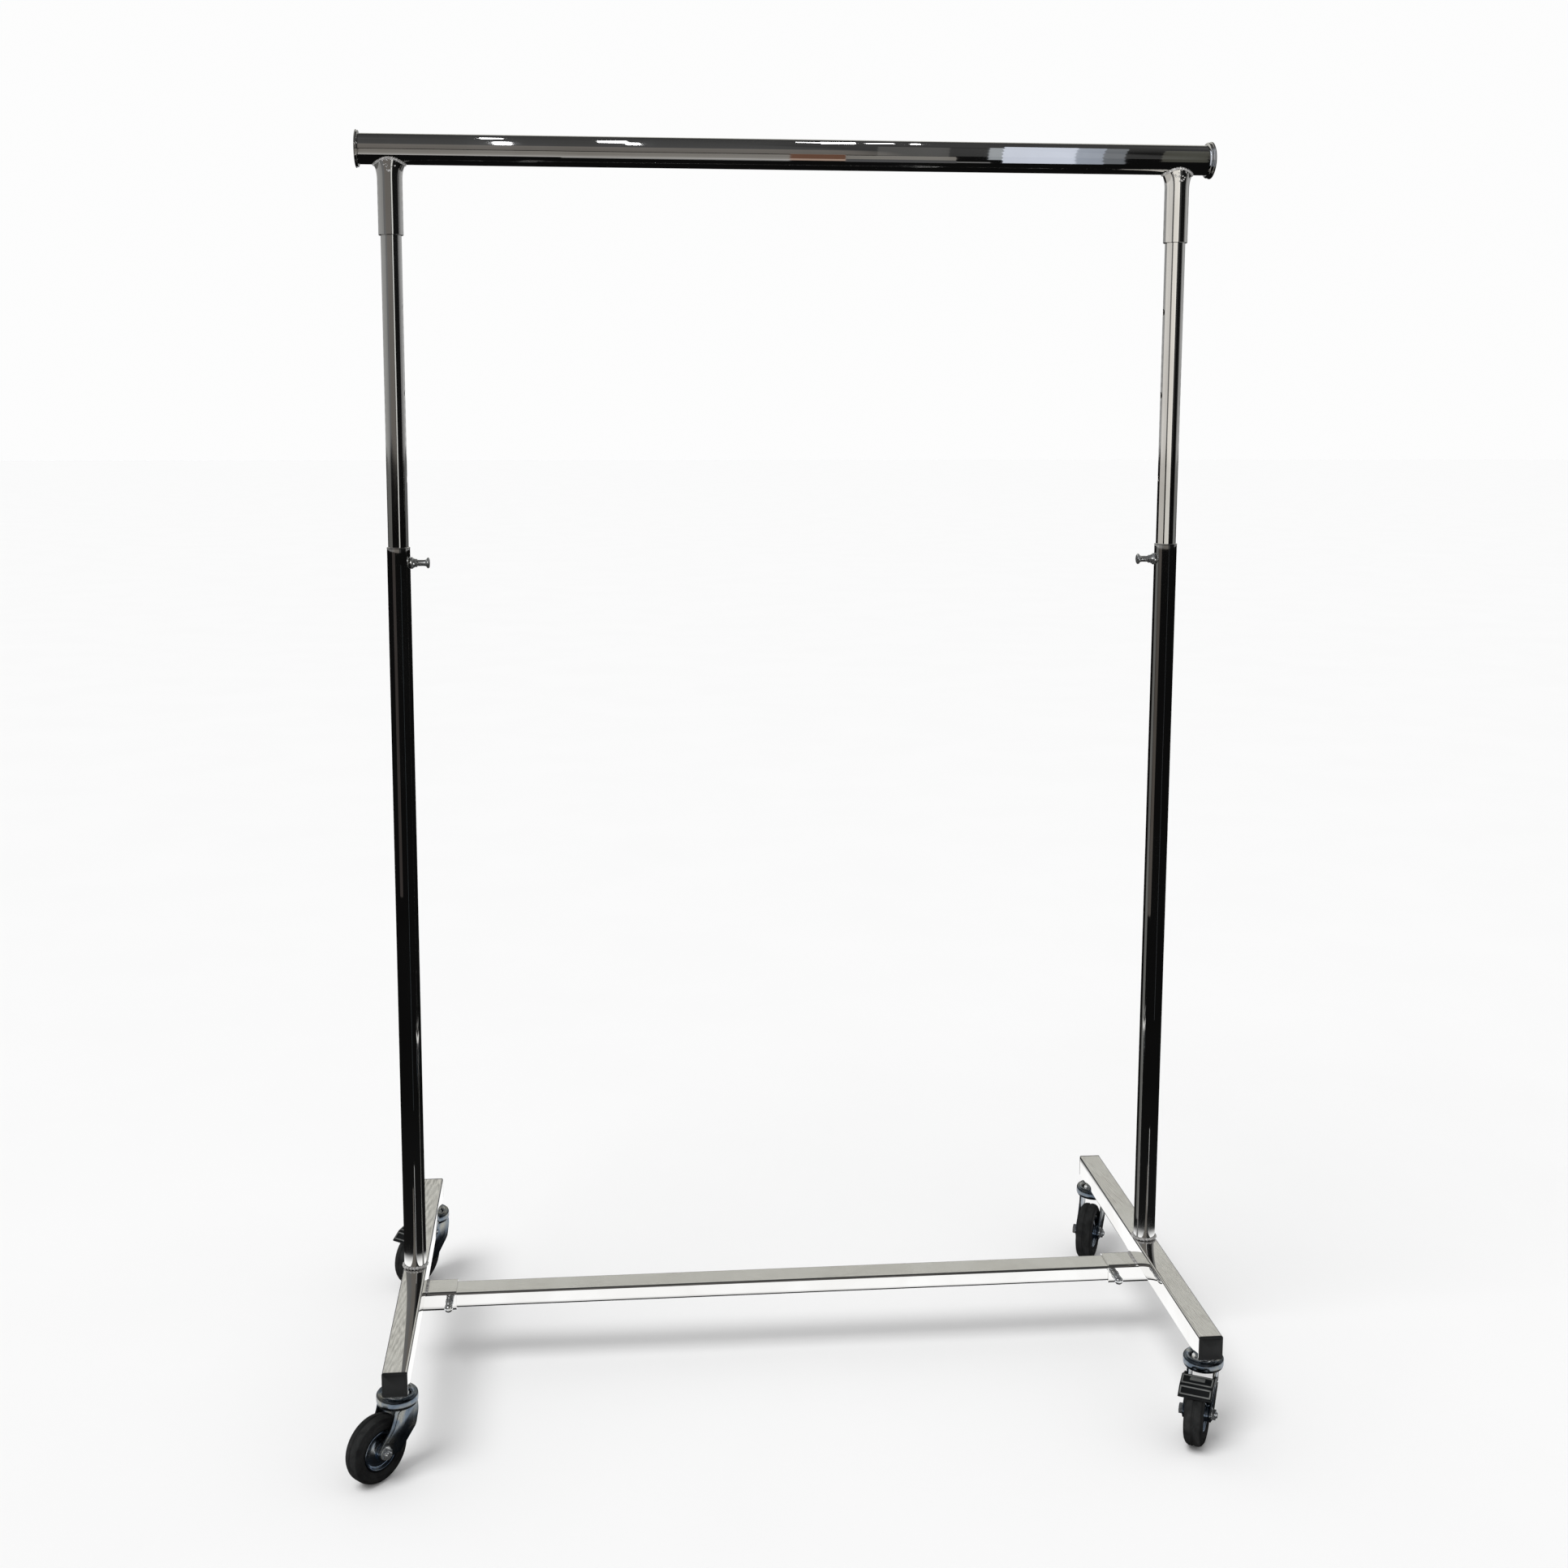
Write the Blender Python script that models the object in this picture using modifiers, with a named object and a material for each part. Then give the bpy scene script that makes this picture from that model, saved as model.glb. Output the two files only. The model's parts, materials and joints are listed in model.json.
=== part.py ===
"""Collapsible chrome garment rail: a hang rail on two telescoping uprights, two legs, four casters.

Metres, +Z up. The origin is on the floor, under the middle of the whole rack.
X runs along the hang rail, Y across the base, and the front of the rack faces -Y.
"""
import math

import bmesh
import bpy
from mathutils import Matrix

# ---- driving dimensions (metres) ----
GAP = 0.0003                 # clearance between pieces that touch
EDGE = 0.0005                # small chamfer on turned edges
CROSSBAR_Y = 0.021           # the casters trail forwards, so the crossbar is behind the origin

UPRIGHT_X = 0.492            # upright axis to the middle of the rack
LEG_TOP = 0.134
LEG_SIZE = 0.030             # square tube
LEG_WALL = 0.0015
LEG_LENGTH = 0.554
LEG_CAP_FLANGE = 0.002
LEG_CAP_PLUG = 0.014

LOWER_R = 0.0143             # lower upright tube
LOWER_WALL = 0.0013
LOWER_LENGTH = 0.949
UPPER_R = 0.0127             # sliding upper tube
UPPER_WALL = 0.0012
OVERLAP = 0.400              # upper tube hidden inside the lower one
HOLE_PITCH = 0.105
HOLES_ABOVE_PIN = 3
HOLES_BELOW_PIN = 2
HOLE_R = 0.0036
PIN_BELOW_RIM = 0.020
WELD_REACH = 0.0024          # weld fillet round the upright's foot
WELD_RISE = 0.0034

RAIL_R = 0.0185
RAIL_WALL = 0.0015
RAIL_LENGTH = 1.056
RAIL_ABOVE_LEG = 1.434       # leg top to rail axis
SOCKET_R = 0.0152
SOCKET_LENGTH = 0.103        # rail axis to the socket's lower edge
CAP_FLANGE = 0.008
CAP_R = 0.023
CAP_PLUG = 0.018

CROSSBAR_WIDTH = 0.036
CROSSBAR_HEIGHT = 0.020
CROSSBAR_WALL = 0.0015
SLEEVE_WALL = 0.0022
SLEEVE_REACH = 0.054         # leg axis to the sleeve's inner end
SLEEVE_PIN_REACH = 0.045     # leg axis to the sleeve's pull pin

PIN_BORE_R = 0.0023          # pull pin's hole through its housing
PIN_LID = 0.0016
PIN_SHOULDER = (0.0006, 0.0016)   # the disc that the spring pushes on
HEIGHT_PIN = {
    "foot_r": 0.0074, "neck_r": 0.0052, "length": 0.0085, "grip_r": 0.0039,
    "knob_r": 0.0068, "reach": 0.0235, "nose": LOWER_WALL + 0.0001,
}
CROSSBAR_PIN = {
    "foot_r": 0.0052, "neck_r": 0.0047, "length": 0.0090, "grip_r": 0.0040,
    "knob_r": 0.0056, "reach": 0.0225, "nose": SLEEVE_WALL + GAP + CROSSBAR_WALL,
}

CASTER_INSET = 0.026         # stem axis to the end of the leg
TRAIL = 0.033                # stem axis to the axle
WHEEL_R = 0.040
TYRE_WIDTH = 0.024
HUB_R = 0.024
HUB_LENGTH = 0.0284
BORE_R = 0.0044
AXLE_R = 0.0040
ARM_INNER = 0.0146           # fork arm's inner face to the caster's middle
ARM_THICK = 0.0025
CROWN_R = 0.025
CROWN_BOTTOM = 0.084
CROWN_TOP = 0.098
CROWN_FLOOR = 0.0030
STEM_R = 0.0055
STEM_RISE = 0.022              # threaded end inside the leg
COLLAR_R = 0.0105
RACE_R = 0.0150
RACE_BORE_R = 0.0066           # hole in the crown's floor
HEX_R = 0.0072                 # axle bolt head and nut, across corners / 2
HEX_HEIGHT = 0.0045
PEDAL_PIVOT = (0.014, 0.074)   # this and the next three: along the trail, height
PEDAL_HEEL = (0.032, 0.086)
PEDAL_RIDGE = (0.050, 0.081)
PEDAL_TOE = (0.062, 0.072)
PEDAL_THICK = 0.0022
PEDAL_RIVET_R = 0.0022
BRAKE_BLOCK = (0.018, 0.009, 0.0042)
BRAKE_BLOCK_AT = (0.0375, 0.0828)

# name: (side, end, swivel angle in degrees, has a brake)
CASTERS = {
    "front_left": (-1, -1, 45.0, False),
    "front_right": (1, -1, 28.0, True),
    "back_left": (-1, 1, 36.0, True),
    "back_right": (1, 1, 27.0, False),
}

# ---- derived dimensions ----
LEG_BOTTOM = LEG_TOP - LEG_SIZE
RIM_Z = LEG_TOP + LOWER_LENGTH
PIN_Z = RIM_Z - PIN_BELOW_RIM
RAIL_Z = LEG_TOP + RAIL_ABOVE_LEG
SOCKET_INNER_R = UPPER_R + GAP
UPPER_BOTTOM = RIM_Z - OVERLAP
UPPER_TOP = RAIL_Z - RAIL_R - 0.003
SLEEVE_WIDTH = CROSSBAR_WIDTH + 2 * (SLEEVE_WALL + GAP)
SLEEVE_HEIGHT = CROSSBAR_HEIGHT + 2 * (SLEEVE_WALL + GAP)
SLEEVE_Z = LEG_BOTTOM - GAP - SLEEVE_HEIGHT / 2
STEM_Y = LEG_LENGTH / 2 - CASTER_INSET

# ---- looks: colour, roughness, metallic ----
CHROME = ((0.80, 0.80, 0.79), 0.07, 1.0)
ZINC = ((0.62, 0.65, 0.66), 0.24, 1.0)
STEEL = ((0.46, 0.47, 0.48), 0.32, 1.0)
RUBBER = ((0.025, 0.027, 0.028), 0.72, 0.0)
BLACK_PLASTIC = ((0.015, 0.017, 0.018), 0.42, 0.0)

TUBE_SIDES = 24               # rail, uprights, tyres
ROUND_SIDES = 16              # crowns, hubs
STEM_SIDES = 12
SMALL_SIDES = 10              # pins, bolts
DRILL_SIDES = 8


def clear_scene():
    for obj in list(bpy.data.objects):
        bpy.data.objects.remove(obj, do_unlink=True)


def new_collection(name):
    made = bpy.data.collections.new(name)
    bpy.context.scene.collection.children.link(made)
    return made


def material(name, look):
    colour, roughness, metallic = look
    made = bpy.data.materials.new(name)
    made.use_nodes = True
    shader = made.node_tree.nodes["Principled BSDF"]
    shader.inputs["Base Color"].default_value = (*colour, 1.0)
    shader.inputs["Roughness"].default_value = roughness
    shader.inputs["Metallic"].default_value = metallic
    return made


def mesh_object(name, bm, look=None):
    """Turns a bmesh into an object: a part when it has a look, a cutter when it has none."""
    mesh = bpy.data.meshes.new(name)
    bm.to_mesh(mesh)
    bm.free()
    obj = bpy.data.objects.new(name, mesh)
    if look is None:
        CUTTERS.objects.link(obj)
        obj.hide_render = True
        obj.display_type = "WIRE"
    else:
        PARTS.objects.link(obj)
        mesh.materials.append(material(name, look))
    return obj


def turned(name, profile, look, sides=TUBE_SIDES, closed=True):
    """Spins a profile of (radius, height) about Z. Its outer side runs from top to bottom."""
    bm = bmesh.new()
    points = [bm.verts.new((r, 0.0, z)) for r, z in profile]
    for a, b in zip(points, points[1:]):
        bm.edges.new((a, b))
    if closed:
        bm.edges.new((points[-1], points[0]))
    obj = mesh_object(name, bm, look)
    spin = obj.modifiers.new("Spin", "SCREW")
    spin.axis = "Z"
    spin.steps = sides
    spin.render_steps = sides
    spin.use_merge_vertices = True
    spin.merge_threshold = 0.00001
    spin.use_smooth_shade = True
    return obj


def tube_profile(outer, inner, bottom, top, rounding=EDGE):
    """A tube's wall: down the outside, up the bore, with small chamfers on the outer edges."""
    return [
        (outer - rounding, top),
        (outer, top - rounding),
        (outer, bottom + rounding),
        (outer - rounding, bottom),
        (inner, bottom),
        (inner, top),
    ]


def box(name, size, look=None):
    bm = bmesh.new()
    bmesh.ops.create_cube(bm, size=1.0)
    bmesh.ops.scale(bm, vec=size, verts=bm.verts)
    return mesh_object(name, bm, look)


def rod(name, radius, length, look=None, sides=DRILL_SIDES):
    """A plain cylinder along Z, centred on its origin."""
    bm = bmesh.new()
    bmesh.ops.create_cone(
        bm, cap_ends=True, segments=sides, radius1=radius, radius2=radius, depth=length
    )
    return mesh_object(name, bm, look)


def hole(name, radius, length, sides=DRILL_SIDES):
    """A cutter whose flats clear a round of this radius."""
    return rod(name, radius / math.cos(math.pi / sides), length, sides=sides)


def square_tube(name, width, height, length, wall, look):
    """A rectangular tube along Y with rounded corners and open ends."""
    bm = bmesh.new()
    bmesh.ops.create_cube(bm, size=1.0)
    bmesh.ops.scale(bm, vec=(width, length, height), verts=bm.verts)
    ends = [face for face in bm.faces if abs(face.normal.y) > 0.5]
    bmesh.ops.delete(bm, geom=ends, context="FACES_ONLY")
    long_edges = [e for e in bm.edges if abs(e.verts[0].co.y - e.verts[1].co.y) > length / 2]
    bmesh.ops.bevel(bm, geom=long_edges, offset=wall * 1.2, segments=3, affect="EDGES", profile=0.5)
    obj = mesh_object(name, bm, look)
    shell = obj.modifiers.new("Wall", "SOLIDIFY")
    shell.thickness = wall
    shell.offset = -1.0
    shell.use_even_offset = True
    return obj


def plate(name, outline, thickness, look=None):
    """A flat plate in the Y-Z plane from an outline of (along the trail, height) points."""
    curve = bpy.data.curves.new(name, "CURVE")
    curve.dimensions = "2D"
    curve.fill_mode = "BOTH"
    curve.extrude = thickness / 2
    spline = curve.splines.new("POLY")
    spline.points.add(len(outline) - 1)
    for point, (along, height) in zip(spline.points, outline):
        point.co = (-along, height, 0.0, 1.0)
    spline.use_cyclic_u = True
    drawn = bpy.data.objects.new(name + "_outline", curve)
    bpy.context.scene.collection.objects.link(drawn)
    evaluated = drawn.evaluated_get(bpy.context.evaluated_depsgraph_get())
    mesh = bpy.data.meshes.new_from_object(evaluated)
    bpy.data.objects.remove(drawn, do_unlink=True)
    bm = bmesh.new()
    bm.from_mesh(mesh)
    bpy.data.meshes.remove(mesh)
    bmesh.ops.remove_doubles(bm, verts=bm.verts, dist=0.00001)
    bmesh.ops.transform(bm, matrix=Matrix(((0, 0, 1), (1, 0, 0), (0, 1, 0))).to_4x4(), verts=bm.verts)
    bmesh.ops.recalc_face_normals(bm, faces=bm.faces)
    return mesh_object(name, bm, look)


def cut(obj, cutter, operation="DIFFERENCE"):
    tool = obj.modifiers.new(cutter.name, "BOOLEAN")
    tool.operation = operation
    tool.solver = "EXACT"
    tool.object = cutter


def place(obj, location=(0, 0, 0), rotation=(0, 0, 0), parent=None):
    obj.location = location
    obj.rotation_euler = rotation
    obj.parent = parent or RACK
    return obj


def pivot(name, location, rotation=(0, 0, 0), parent=None):
    empty = bpy.data.objects.new(name, None)
    PARTS.objects.link(empty)
    return place(empty, location, rotation, parent)


def sharpen(obj, angle=35):
    """Smooth shading on round pieces, with sharp edges kept."""
    obj.data.shade_smooth()
    obj.data.set_sharp_from_angle(angle=math.radians(angle))


def arc(centre, radius, start, end, steps):
    """Points on an arc, angles in degrees."""
    out = []
    for i in range(steps + 1):
        a = math.radians(start + (end - start) * i / steps)
        out.append((centre[0] + radius * math.cos(a), centre[1] + radius * math.sin(a)))
    return out


# ---- hang rail ----
def make_rail():
    half = RAIL_LENGTH / 2
    rail = turned("hang_rail", tube_profile(RAIL_R, RAIL_R - RAIL_WALL, -half, half), CHROME)
    place(rail, (0, 0, RAIL_Z), (0, math.radians(90), 0))
    for side, tag in ((-1, "left"), (1, "right")):
        make_rail_cap(tag, side)
        make_socket(tag, side)


def make_rail_cap(tag, side):
    """A flared chrome plug: its flange is wider than the rail, with a flat outer face."""
    plug_r = RAIL_R - RAIL_WALL - GAP
    profile = [(0.0, CAP_FLANGE), (CAP_R - 0.004, CAP_FLANGE)]
    profile += arc((CAP_R - 0.0022, CAP_FLANGE - 0.0022), 0.0022, 60, -40, 2)
    profile += [(RAIL_R + 0.0004, GAP), (plug_r, GAP), (plug_r, -CAP_PLUG + 0.001)]
    profile += [(plug_r - 0.001, -CAP_PLUG), (0.0, -CAP_PLUG)]
    cap = turned("rail_end_cap_" + tag, profile, CHROME, sides=TUBE_SIDES, closed=False)
    place(cap, (side * RAIL_LENGTH / 2, 0, RAIL_Z), (0, math.radians(90 * side), 0))


def make_socket(tag, side):
    """The short pipe under the rail that takes the upper tube, coped to the rail's round."""
    top = RAIL_Z - RAIL_R * 0.5
    bottom = RAIL_Z - SOCKET_LENGTH
    profile = tube_profile(SOCKET_R, SOCKET_INNER_R, bottom - RAIL_Z, top - RAIL_Z)
    socket = turned("rail_socket_" + tag, profile, CHROME)
    place(socket, (side * UPRIGHT_X, 0, RAIL_Z))
    cope = hole("cope_" + tag, RAIL_R + GAP, 0.08, sides=TUBE_SIDES)
    place(cope, (side * UPRIGHT_X, 0, RAIL_Z), (0, math.radians(90), 0))
    cut(socket, cope)


# ---- uprights ----
def make_upper_tube(tag, side):
    profile = tube_profile(UPPER_R, UPPER_R - UPPER_WALL, UPPER_BOTTOM - PIN_Z, UPPER_TOP - PIN_Z)
    tube = turned("upper_tube_" + tag, profile, CHROME)
    place(tube, (side * UPRIGHT_X, 0, PIN_Z))
    for step in range(-HOLES_BELOW_PIN, HOLES_ABOVE_PIN + 1):
        drill = rod(f"drill_{tag}_{step + HOLES_BELOW_PIN}", HOLE_R, 0.02)
        inward = side * (UPRIGHT_X - UPPER_R)
        place(drill, (inward, 0, PIN_Z + step * HOLE_PITCH), (0, math.radians(90), 0))
        cut(tube, drill)


def make_lower_upright(tag, side):
    """The lower tube, with a weld fillet at its foot and a hole for the pull pin."""
    inner = LOWER_R - LOWER_WALL
    profile = [(LOWER_R - EDGE, LOWER_LENGTH), (LOWER_R, LOWER_LENGTH - EDGE)]
    profile += [(LOWER_R, GAP + WELD_RISE), (LOWER_R + WELD_REACH / 3, GAP + WELD_RISE / 2)]
    profile += [(LOWER_R + WELD_REACH, GAP), (inner, GAP), (inner, LOWER_LENGTH)]
    tube = turned("lower_upright_" + tag, profile, CHROME)
    place(tube, (side * UPRIGHT_X, 0, LEG_TOP))
    drill = rod("pin_drill_" + tag, HOLE_R, 0.012)
    place(drill, (side * (UPRIGHT_X - LOWER_R), 0, PIN_Z), (0, math.radians(90), 0))
    cut(tube, drill)


# ---- pull pins: local +Z points away from the tube they sit on ----
def make_pull_pin(prefix, location, rotation, size):
    """A spring plunger: a housing on the tube, a knobbed pin through it and a coil spring."""
    base = pivot(prefix + "_axis", location, rotation)
    neck_r, length = size["neck_r"], size["length"]
    chamber_r = neck_r - 0.0009
    seat = length - PIN_LID
    housing_profile = [
        (neck_r - EDGE, length),
        (neck_r, length - EDGE),
        (neck_r, length * 0.45),
        (size["foot_r"], 0.0012),
        (size["foot_r"], GAP),
        (chamber_r, GAP),
        (chamber_r, seat),
        (PIN_BORE_R, seat),
        (PIN_BORE_R, length),
    ]
    housing = turned(prefix + "_housing", housing_profile, ZINC, sides=SMALL_SIDES)
    place(housing, parent=base)

    pin_r = PIN_BORE_R - GAP
    shoulder_r = chamber_r - GAP
    shoulder_low, shoulder_high = PIN_SHOULDER
    knob_r, grip_r, reach, nose = size["knob_r"], size["grip_r"], size["reach"], size["nose"]
    knob_start = length + EDGE
    pin_profile = [
        (0.0, reach),
        (knob_r - 2 * EDGE, reach),
        (knob_r, reach - 2 * EDGE),
        (knob_r, reach - 5 * EDGE),
        (grip_r, reach - 8 * EDGE),
        (grip_r, knob_start),
        (pin_r, knob_start),
        (pin_r, shoulder_high),
        (shoulder_r, shoulder_high),
        (shoulder_r, shoulder_low),
        (pin_r, shoulder_low),
        (pin_r, EDGE - nose),
        (pin_r - EDGE, -nose),
        (0.0, -nose),
    ]
    pin = turned(prefix + "_pin", pin_profile, ZINC, sides=SMALL_SIDES, closed=False)
    place(pin, parent=base)

    spring = make_spring(prefix + "_spring", pin_r, chamber_r, shoulder_high, seat)
    place(spring, parent=base)


def make_spring(name, inner, outer, bottom, top):
    """A compression coil round the pin, as a wire along a helix."""
    wire = min(0.0004, (outer - inner) / 2 - GAP)
    coil_r = (inner + outer) / 2
    low = bottom + wire + GAP
    high = top - wire - GAP
    turns, per_turn = 3, 6
    count = turns * per_turn + 1
    curve = bpy.data.curves.new(name, "CURVE")
    curve.dimensions = "3D"
    curve.bevel_depth = wire
    curve.bevel_resolution = 1
    curve.use_fill_caps = True
    spline = curve.splines.new("POLY")
    spline.points.add(count - 1)
    for i, point in enumerate(spline.points):
        a = 2 * math.pi * i / per_turn
        z = low + (high - low) * i / (count - 1)
        point.co = (coil_r * math.cos(a), coil_r * math.sin(a), z, 1.0)
    spring = bpy.data.objects.new(name, curve)
    curve.materials.append(material(name, STEEL))
    PARTS.objects.link(spring)
    return spring


# ---- base ----
def make_leg(tag, side):
    tube_length = LEG_LENGTH - 2 * (LEG_CAP_FLANGE + GAP)
    leg = square_tube("leg_" + tag, LEG_SIZE, LEG_SIZE, tube_length, LEG_WALL, CHROME)
    place(leg, (side * UPRIGHT_X, 0, LEG_TOP - LEG_SIZE / 2))
    for end, word in ((-1, "front"), (1, "back")):
        drill = hole(f"stem_drill_{word}_{tag}", STEM_R + GAP, 0.012)
        place(drill, (side * UPRIGHT_X, end * STEM_Y, LEG_BOTTOM))
        cut(leg, drill)
        make_leg_cap(f"leg_cap_{word}_{tag}", side, end)


def make_leg_cap(name, side, end):
    """A black plug: a flat flange over the tube's end and a hollow-backed block inside it."""
    flange = box(name, (LEG_SIZE, LEG_CAP_FLANGE, LEG_SIZE), BLACK_PLASTIC)
    edge = flange.modifiers.new("Edge", "BEVEL")
    edge.width = EDGE
    edge.segments = 2
    inside = LEG_SIZE - 2 * (LEG_WALL + GAP)
    plug = box(name + "_plug", (inside - 0.001, LEG_CAP_PLUG, inside - 0.001))
    y = end * (LEG_LENGTH / 2 - LEG_CAP_FLANGE / 2)
    z = LEG_TOP - LEG_SIZE / 2
    place(flange, (side * UPRIGHT_X, y, z))
    place(plug, (side * UPRIGHT_X, y - end * LEG_CAP_PLUG / 2, z))
    cut(flange, plug, "UNION")


def make_crossbar():
    length = 2 * (UPRIGHT_X + LEG_SIZE / 2 - 0.004)
    bar = square_tube("crossbar", CROSSBAR_WIDTH, CROSSBAR_HEIGHT, length, CROSSBAR_WALL, CHROME)
    place(bar, (0, 0, SLEEVE_Z), (0, 0, math.radians(90)))
    for side, tag in ((-1, "left"), (1, "right")):
        x = side * (UPRIGHT_X - SLEEVE_PIN_REACH)
        drill = hole("crossbar_drill_" + tag, PIN_BORE_R + GAP, 0.010)
        place(drill, (x, -CROSSBAR_WIDTH / 2, SLEEVE_Z), (math.radians(90), 0, 0))
        cut(bar, drill)


def make_sleeve(tag, side):
    """The short socket welded under the leg, which the crossbar's end slides into."""
    outer = UPRIGHT_X + LEG_SIZE / 2
    inner = UPRIGHT_X - SLEEVE_REACH
    length = outer - inner
    sleeve = square_tube(
        "crossbar_sleeve_" + tag, SLEEVE_WIDTH, SLEEVE_HEIGHT, length, SLEEVE_WALL, CHROME
    )
    place(sleeve, (side * (outer + inner) / 2, 0, SLEEVE_Z), (0, 0, math.radians(90)))
    x = side * (UPRIGHT_X - SLEEVE_PIN_REACH)
    drill = hole("sleeve_drill_" + tag, PIN_BORE_R + GAP, 0.010)
    place(drill, (x, -SLEEVE_WIDTH / 2, SLEEVE_Z), (math.radians(90), 0, 0))
    cut(sleeve, drill)


# ---- casters: local X is the axle, local -Y the trailing side, z = 0 the floor ----
def tangent_angle(point, centre, radius, turn):
    """Angle, in degrees, of the point where a line from `point` touches a circle."""
    dx, dy = point[0] - centre[0], point[1] - centre[1]
    far = math.hypot(dx, dy)
    return math.degrees(math.atan2(dy, dx) + turn * math.acos(radius / far))


def make_fork(name, base):
    """A pressed fork: a cupped crown that holds the ball race, and two tapered arms."""
    bend = 0.0014
    cup_r = RACE_R + 0.0010
    floor = CROWN_BOTTOM + CROWN_FLOOR
    profile = [
        (CROWN_R - bend, CROWN_TOP),
        (CROWN_R, CROWN_TOP - bend),
        (CROWN_R, CROWN_BOTTOM + bend),
        (CROWN_R - bend, CROWN_BOTTOM),
        (RACE_BORE_R, CROWN_BOTTOM),
        (RACE_BORE_R, floor),
        (cup_r, floor),
        (cup_r, CROWN_TOP - 0.0016),
        (CROWN_R - 0.0072, CROWN_TOP - 0.0006),
    ]
    fork = turned(name, profile, ZINC, sides=ROUND_SIDES)
    place(fork, parent=base)
    back_top, back_low, front_top = (-0.0175, 0.0865), (-0.0140, 0.0560), (0.0160, 0.0865)
    axle = (TRAIL, WHEEL_R)
    boss_r = 0.010
    low = tangent_angle(back_low, axle, boss_r, 1)
    high = tangent_angle(front_top, axle, boss_r, -1)
    if low > high:
        low -= 360
    outline = [front_top, back_top, back_low] + arc(axle, boss_r, low, high, 8)
    for side in (-1, 1):
        arm = plate(f"{name}_arm_{side + 1}", outline, ARM_THICK)
        place(arm, (side * (ARM_INNER + ARM_THICK / 2), 0, 0), parent=base)
        cut(fork, arm, "UNION")
    drill = hole(name + "_axle_drill", AXLE_R + GAP, 0.06)
    place(drill, (0, -TRAIL, WHEEL_R), (0, math.radians(90), 0), base)
    cut(fork, drill)
    return fork


def make_stem(name, base):
    """The fixed stem: threaded rod up into the leg, collar, inner race and riveted foot."""
    rivet_r = RACE_BORE_R - 0.0004
    neck_r = 0.0070
    thread_top = LEG_BOTTOM + STEM_RISE
    collar_top = LEG_BOTTOM - GAP
    race_bottom = CROWN_BOTTOM + CROWN_FLOOR + GAP
    foot_top = CROWN_BOTTOM - GAP
    profile = [
        (0.0, thread_top),
        (STEM_R - EDGE, thread_top),
        (STEM_R, thread_top - EDGE),
        (STEM_R, collar_top),
        (COLLAR_R, collar_top),
        (COLLAR_R, collar_top - 0.0045),
        (neck_r, collar_top - 0.0045),
        (neck_r, CROWN_TOP - 0.002),
        (RACE_R, CROWN_TOP - 0.005),
        (RACE_R, race_bottom),
        (rivet_r, race_bottom),
        (rivet_r, foot_top),
        (neck_r + 0.0015, foot_top),
        (neck_r, foot_top - 0.0025),
        (0.0, foot_top - 0.0031),
    ]
    stem = turned(name, profile, ZINC, sides=STEM_SIDES, closed=False)
    return place(stem, parent=base)


def make_wheel(prefix, base):
    """Rubber tyre with a groove round its tread, on a pressed hub that turns on the axle."""
    centre = pivot(prefix + "_wheel_axis", (0, -TRAIL, WHEEL_R), (0, math.radians(90), 0), base)
    half = TYRE_WIDTH / 2
    corner = 0.0055
    groove = 0.0010
    tyre_profile = [(HUB_R + 0.004, half - 0.0008)]
    tyre_profile += arc((WHEEL_R - corner, half - corner), corner, 75, 5, 2)
    tyre_profile += [(WHEEL_R, groove * 2), (WHEEL_R - groove, groove)]
    tyre_profile += [(r, -z) for r, z in reversed(tyre_profile)]
    tyre_profile += [(HUB_R + GAP, -half + 0.002), (HUB_R + GAP, half - 0.002)]
    tyre = turned(prefix + "_tyre", tyre_profile, RUBBER)
    place(tyre, parent=centre)

    rim, boss = half - 0.0025, HUB_LENGTH / 2
    side_profile = [(0.0095, boss), (0.0105, 0.0075), (HUB_R - 0.004, 0.0065)]
    side_profile += [(HUB_R - 0.002, rim), (HUB_R, rim - 0.0003)]
    hub_profile = side_profile + [(r, -z) for r, z in reversed(side_profile)]
    hub_profile += [(BORE_R, -boss), (BORE_R, boss)]
    hub = turned(prefix + "_hub", hub_profile, ZINC, sides=ROUND_SIDES)
    place(hub, parent=centre)


def make_axle(prefix, base):
    """The axle bolt with a hexagon head on one side, and a nut on the other."""
    outer = ARM_INNER + ARM_THICK + GAP
    middle = outer + HEX_HEIGHT / 2
    centre = pivot(prefix + "_axle_axis", (0, -TRAIL, WHEEL_R), (0, math.radians(90), 0), base)
    shank_end = outer + HEX_HEIGHT + 0.0022
    shank_profile = [
        (0.0, shank_end),
        (AXLE_R - EDGE, shank_end),
        (AXLE_R, shank_end - EDGE),
        (AXLE_R, -middle),
        (0.0, -middle),
    ]
    bolt = turned(prefix + "_axle_bolt", shank_profile, ZINC, sides=SMALL_SIDES, closed=False)
    place(bolt, parent=centre)
    hexagon = rod(prefix + "_bolt_head", HEX_R, HEX_HEIGHT, sides=6)
    place(hexagon, (0, 0, -middle), parent=centre)
    cut(bolt, hexagon, "UNION")

    nut = rod(prefix + "_axle_nut", HEX_R, HEX_HEIGHT, ZINC, sides=6)
    place(nut, (0, 0, middle), parent=centre)
    thread = hole(prefix + "_nut_thread", AXLE_R + GAP, HEX_HEIGHT * 2)
    place(thread, (0, 0, middle), parent=centre)
    cut(nut, thread)


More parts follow.
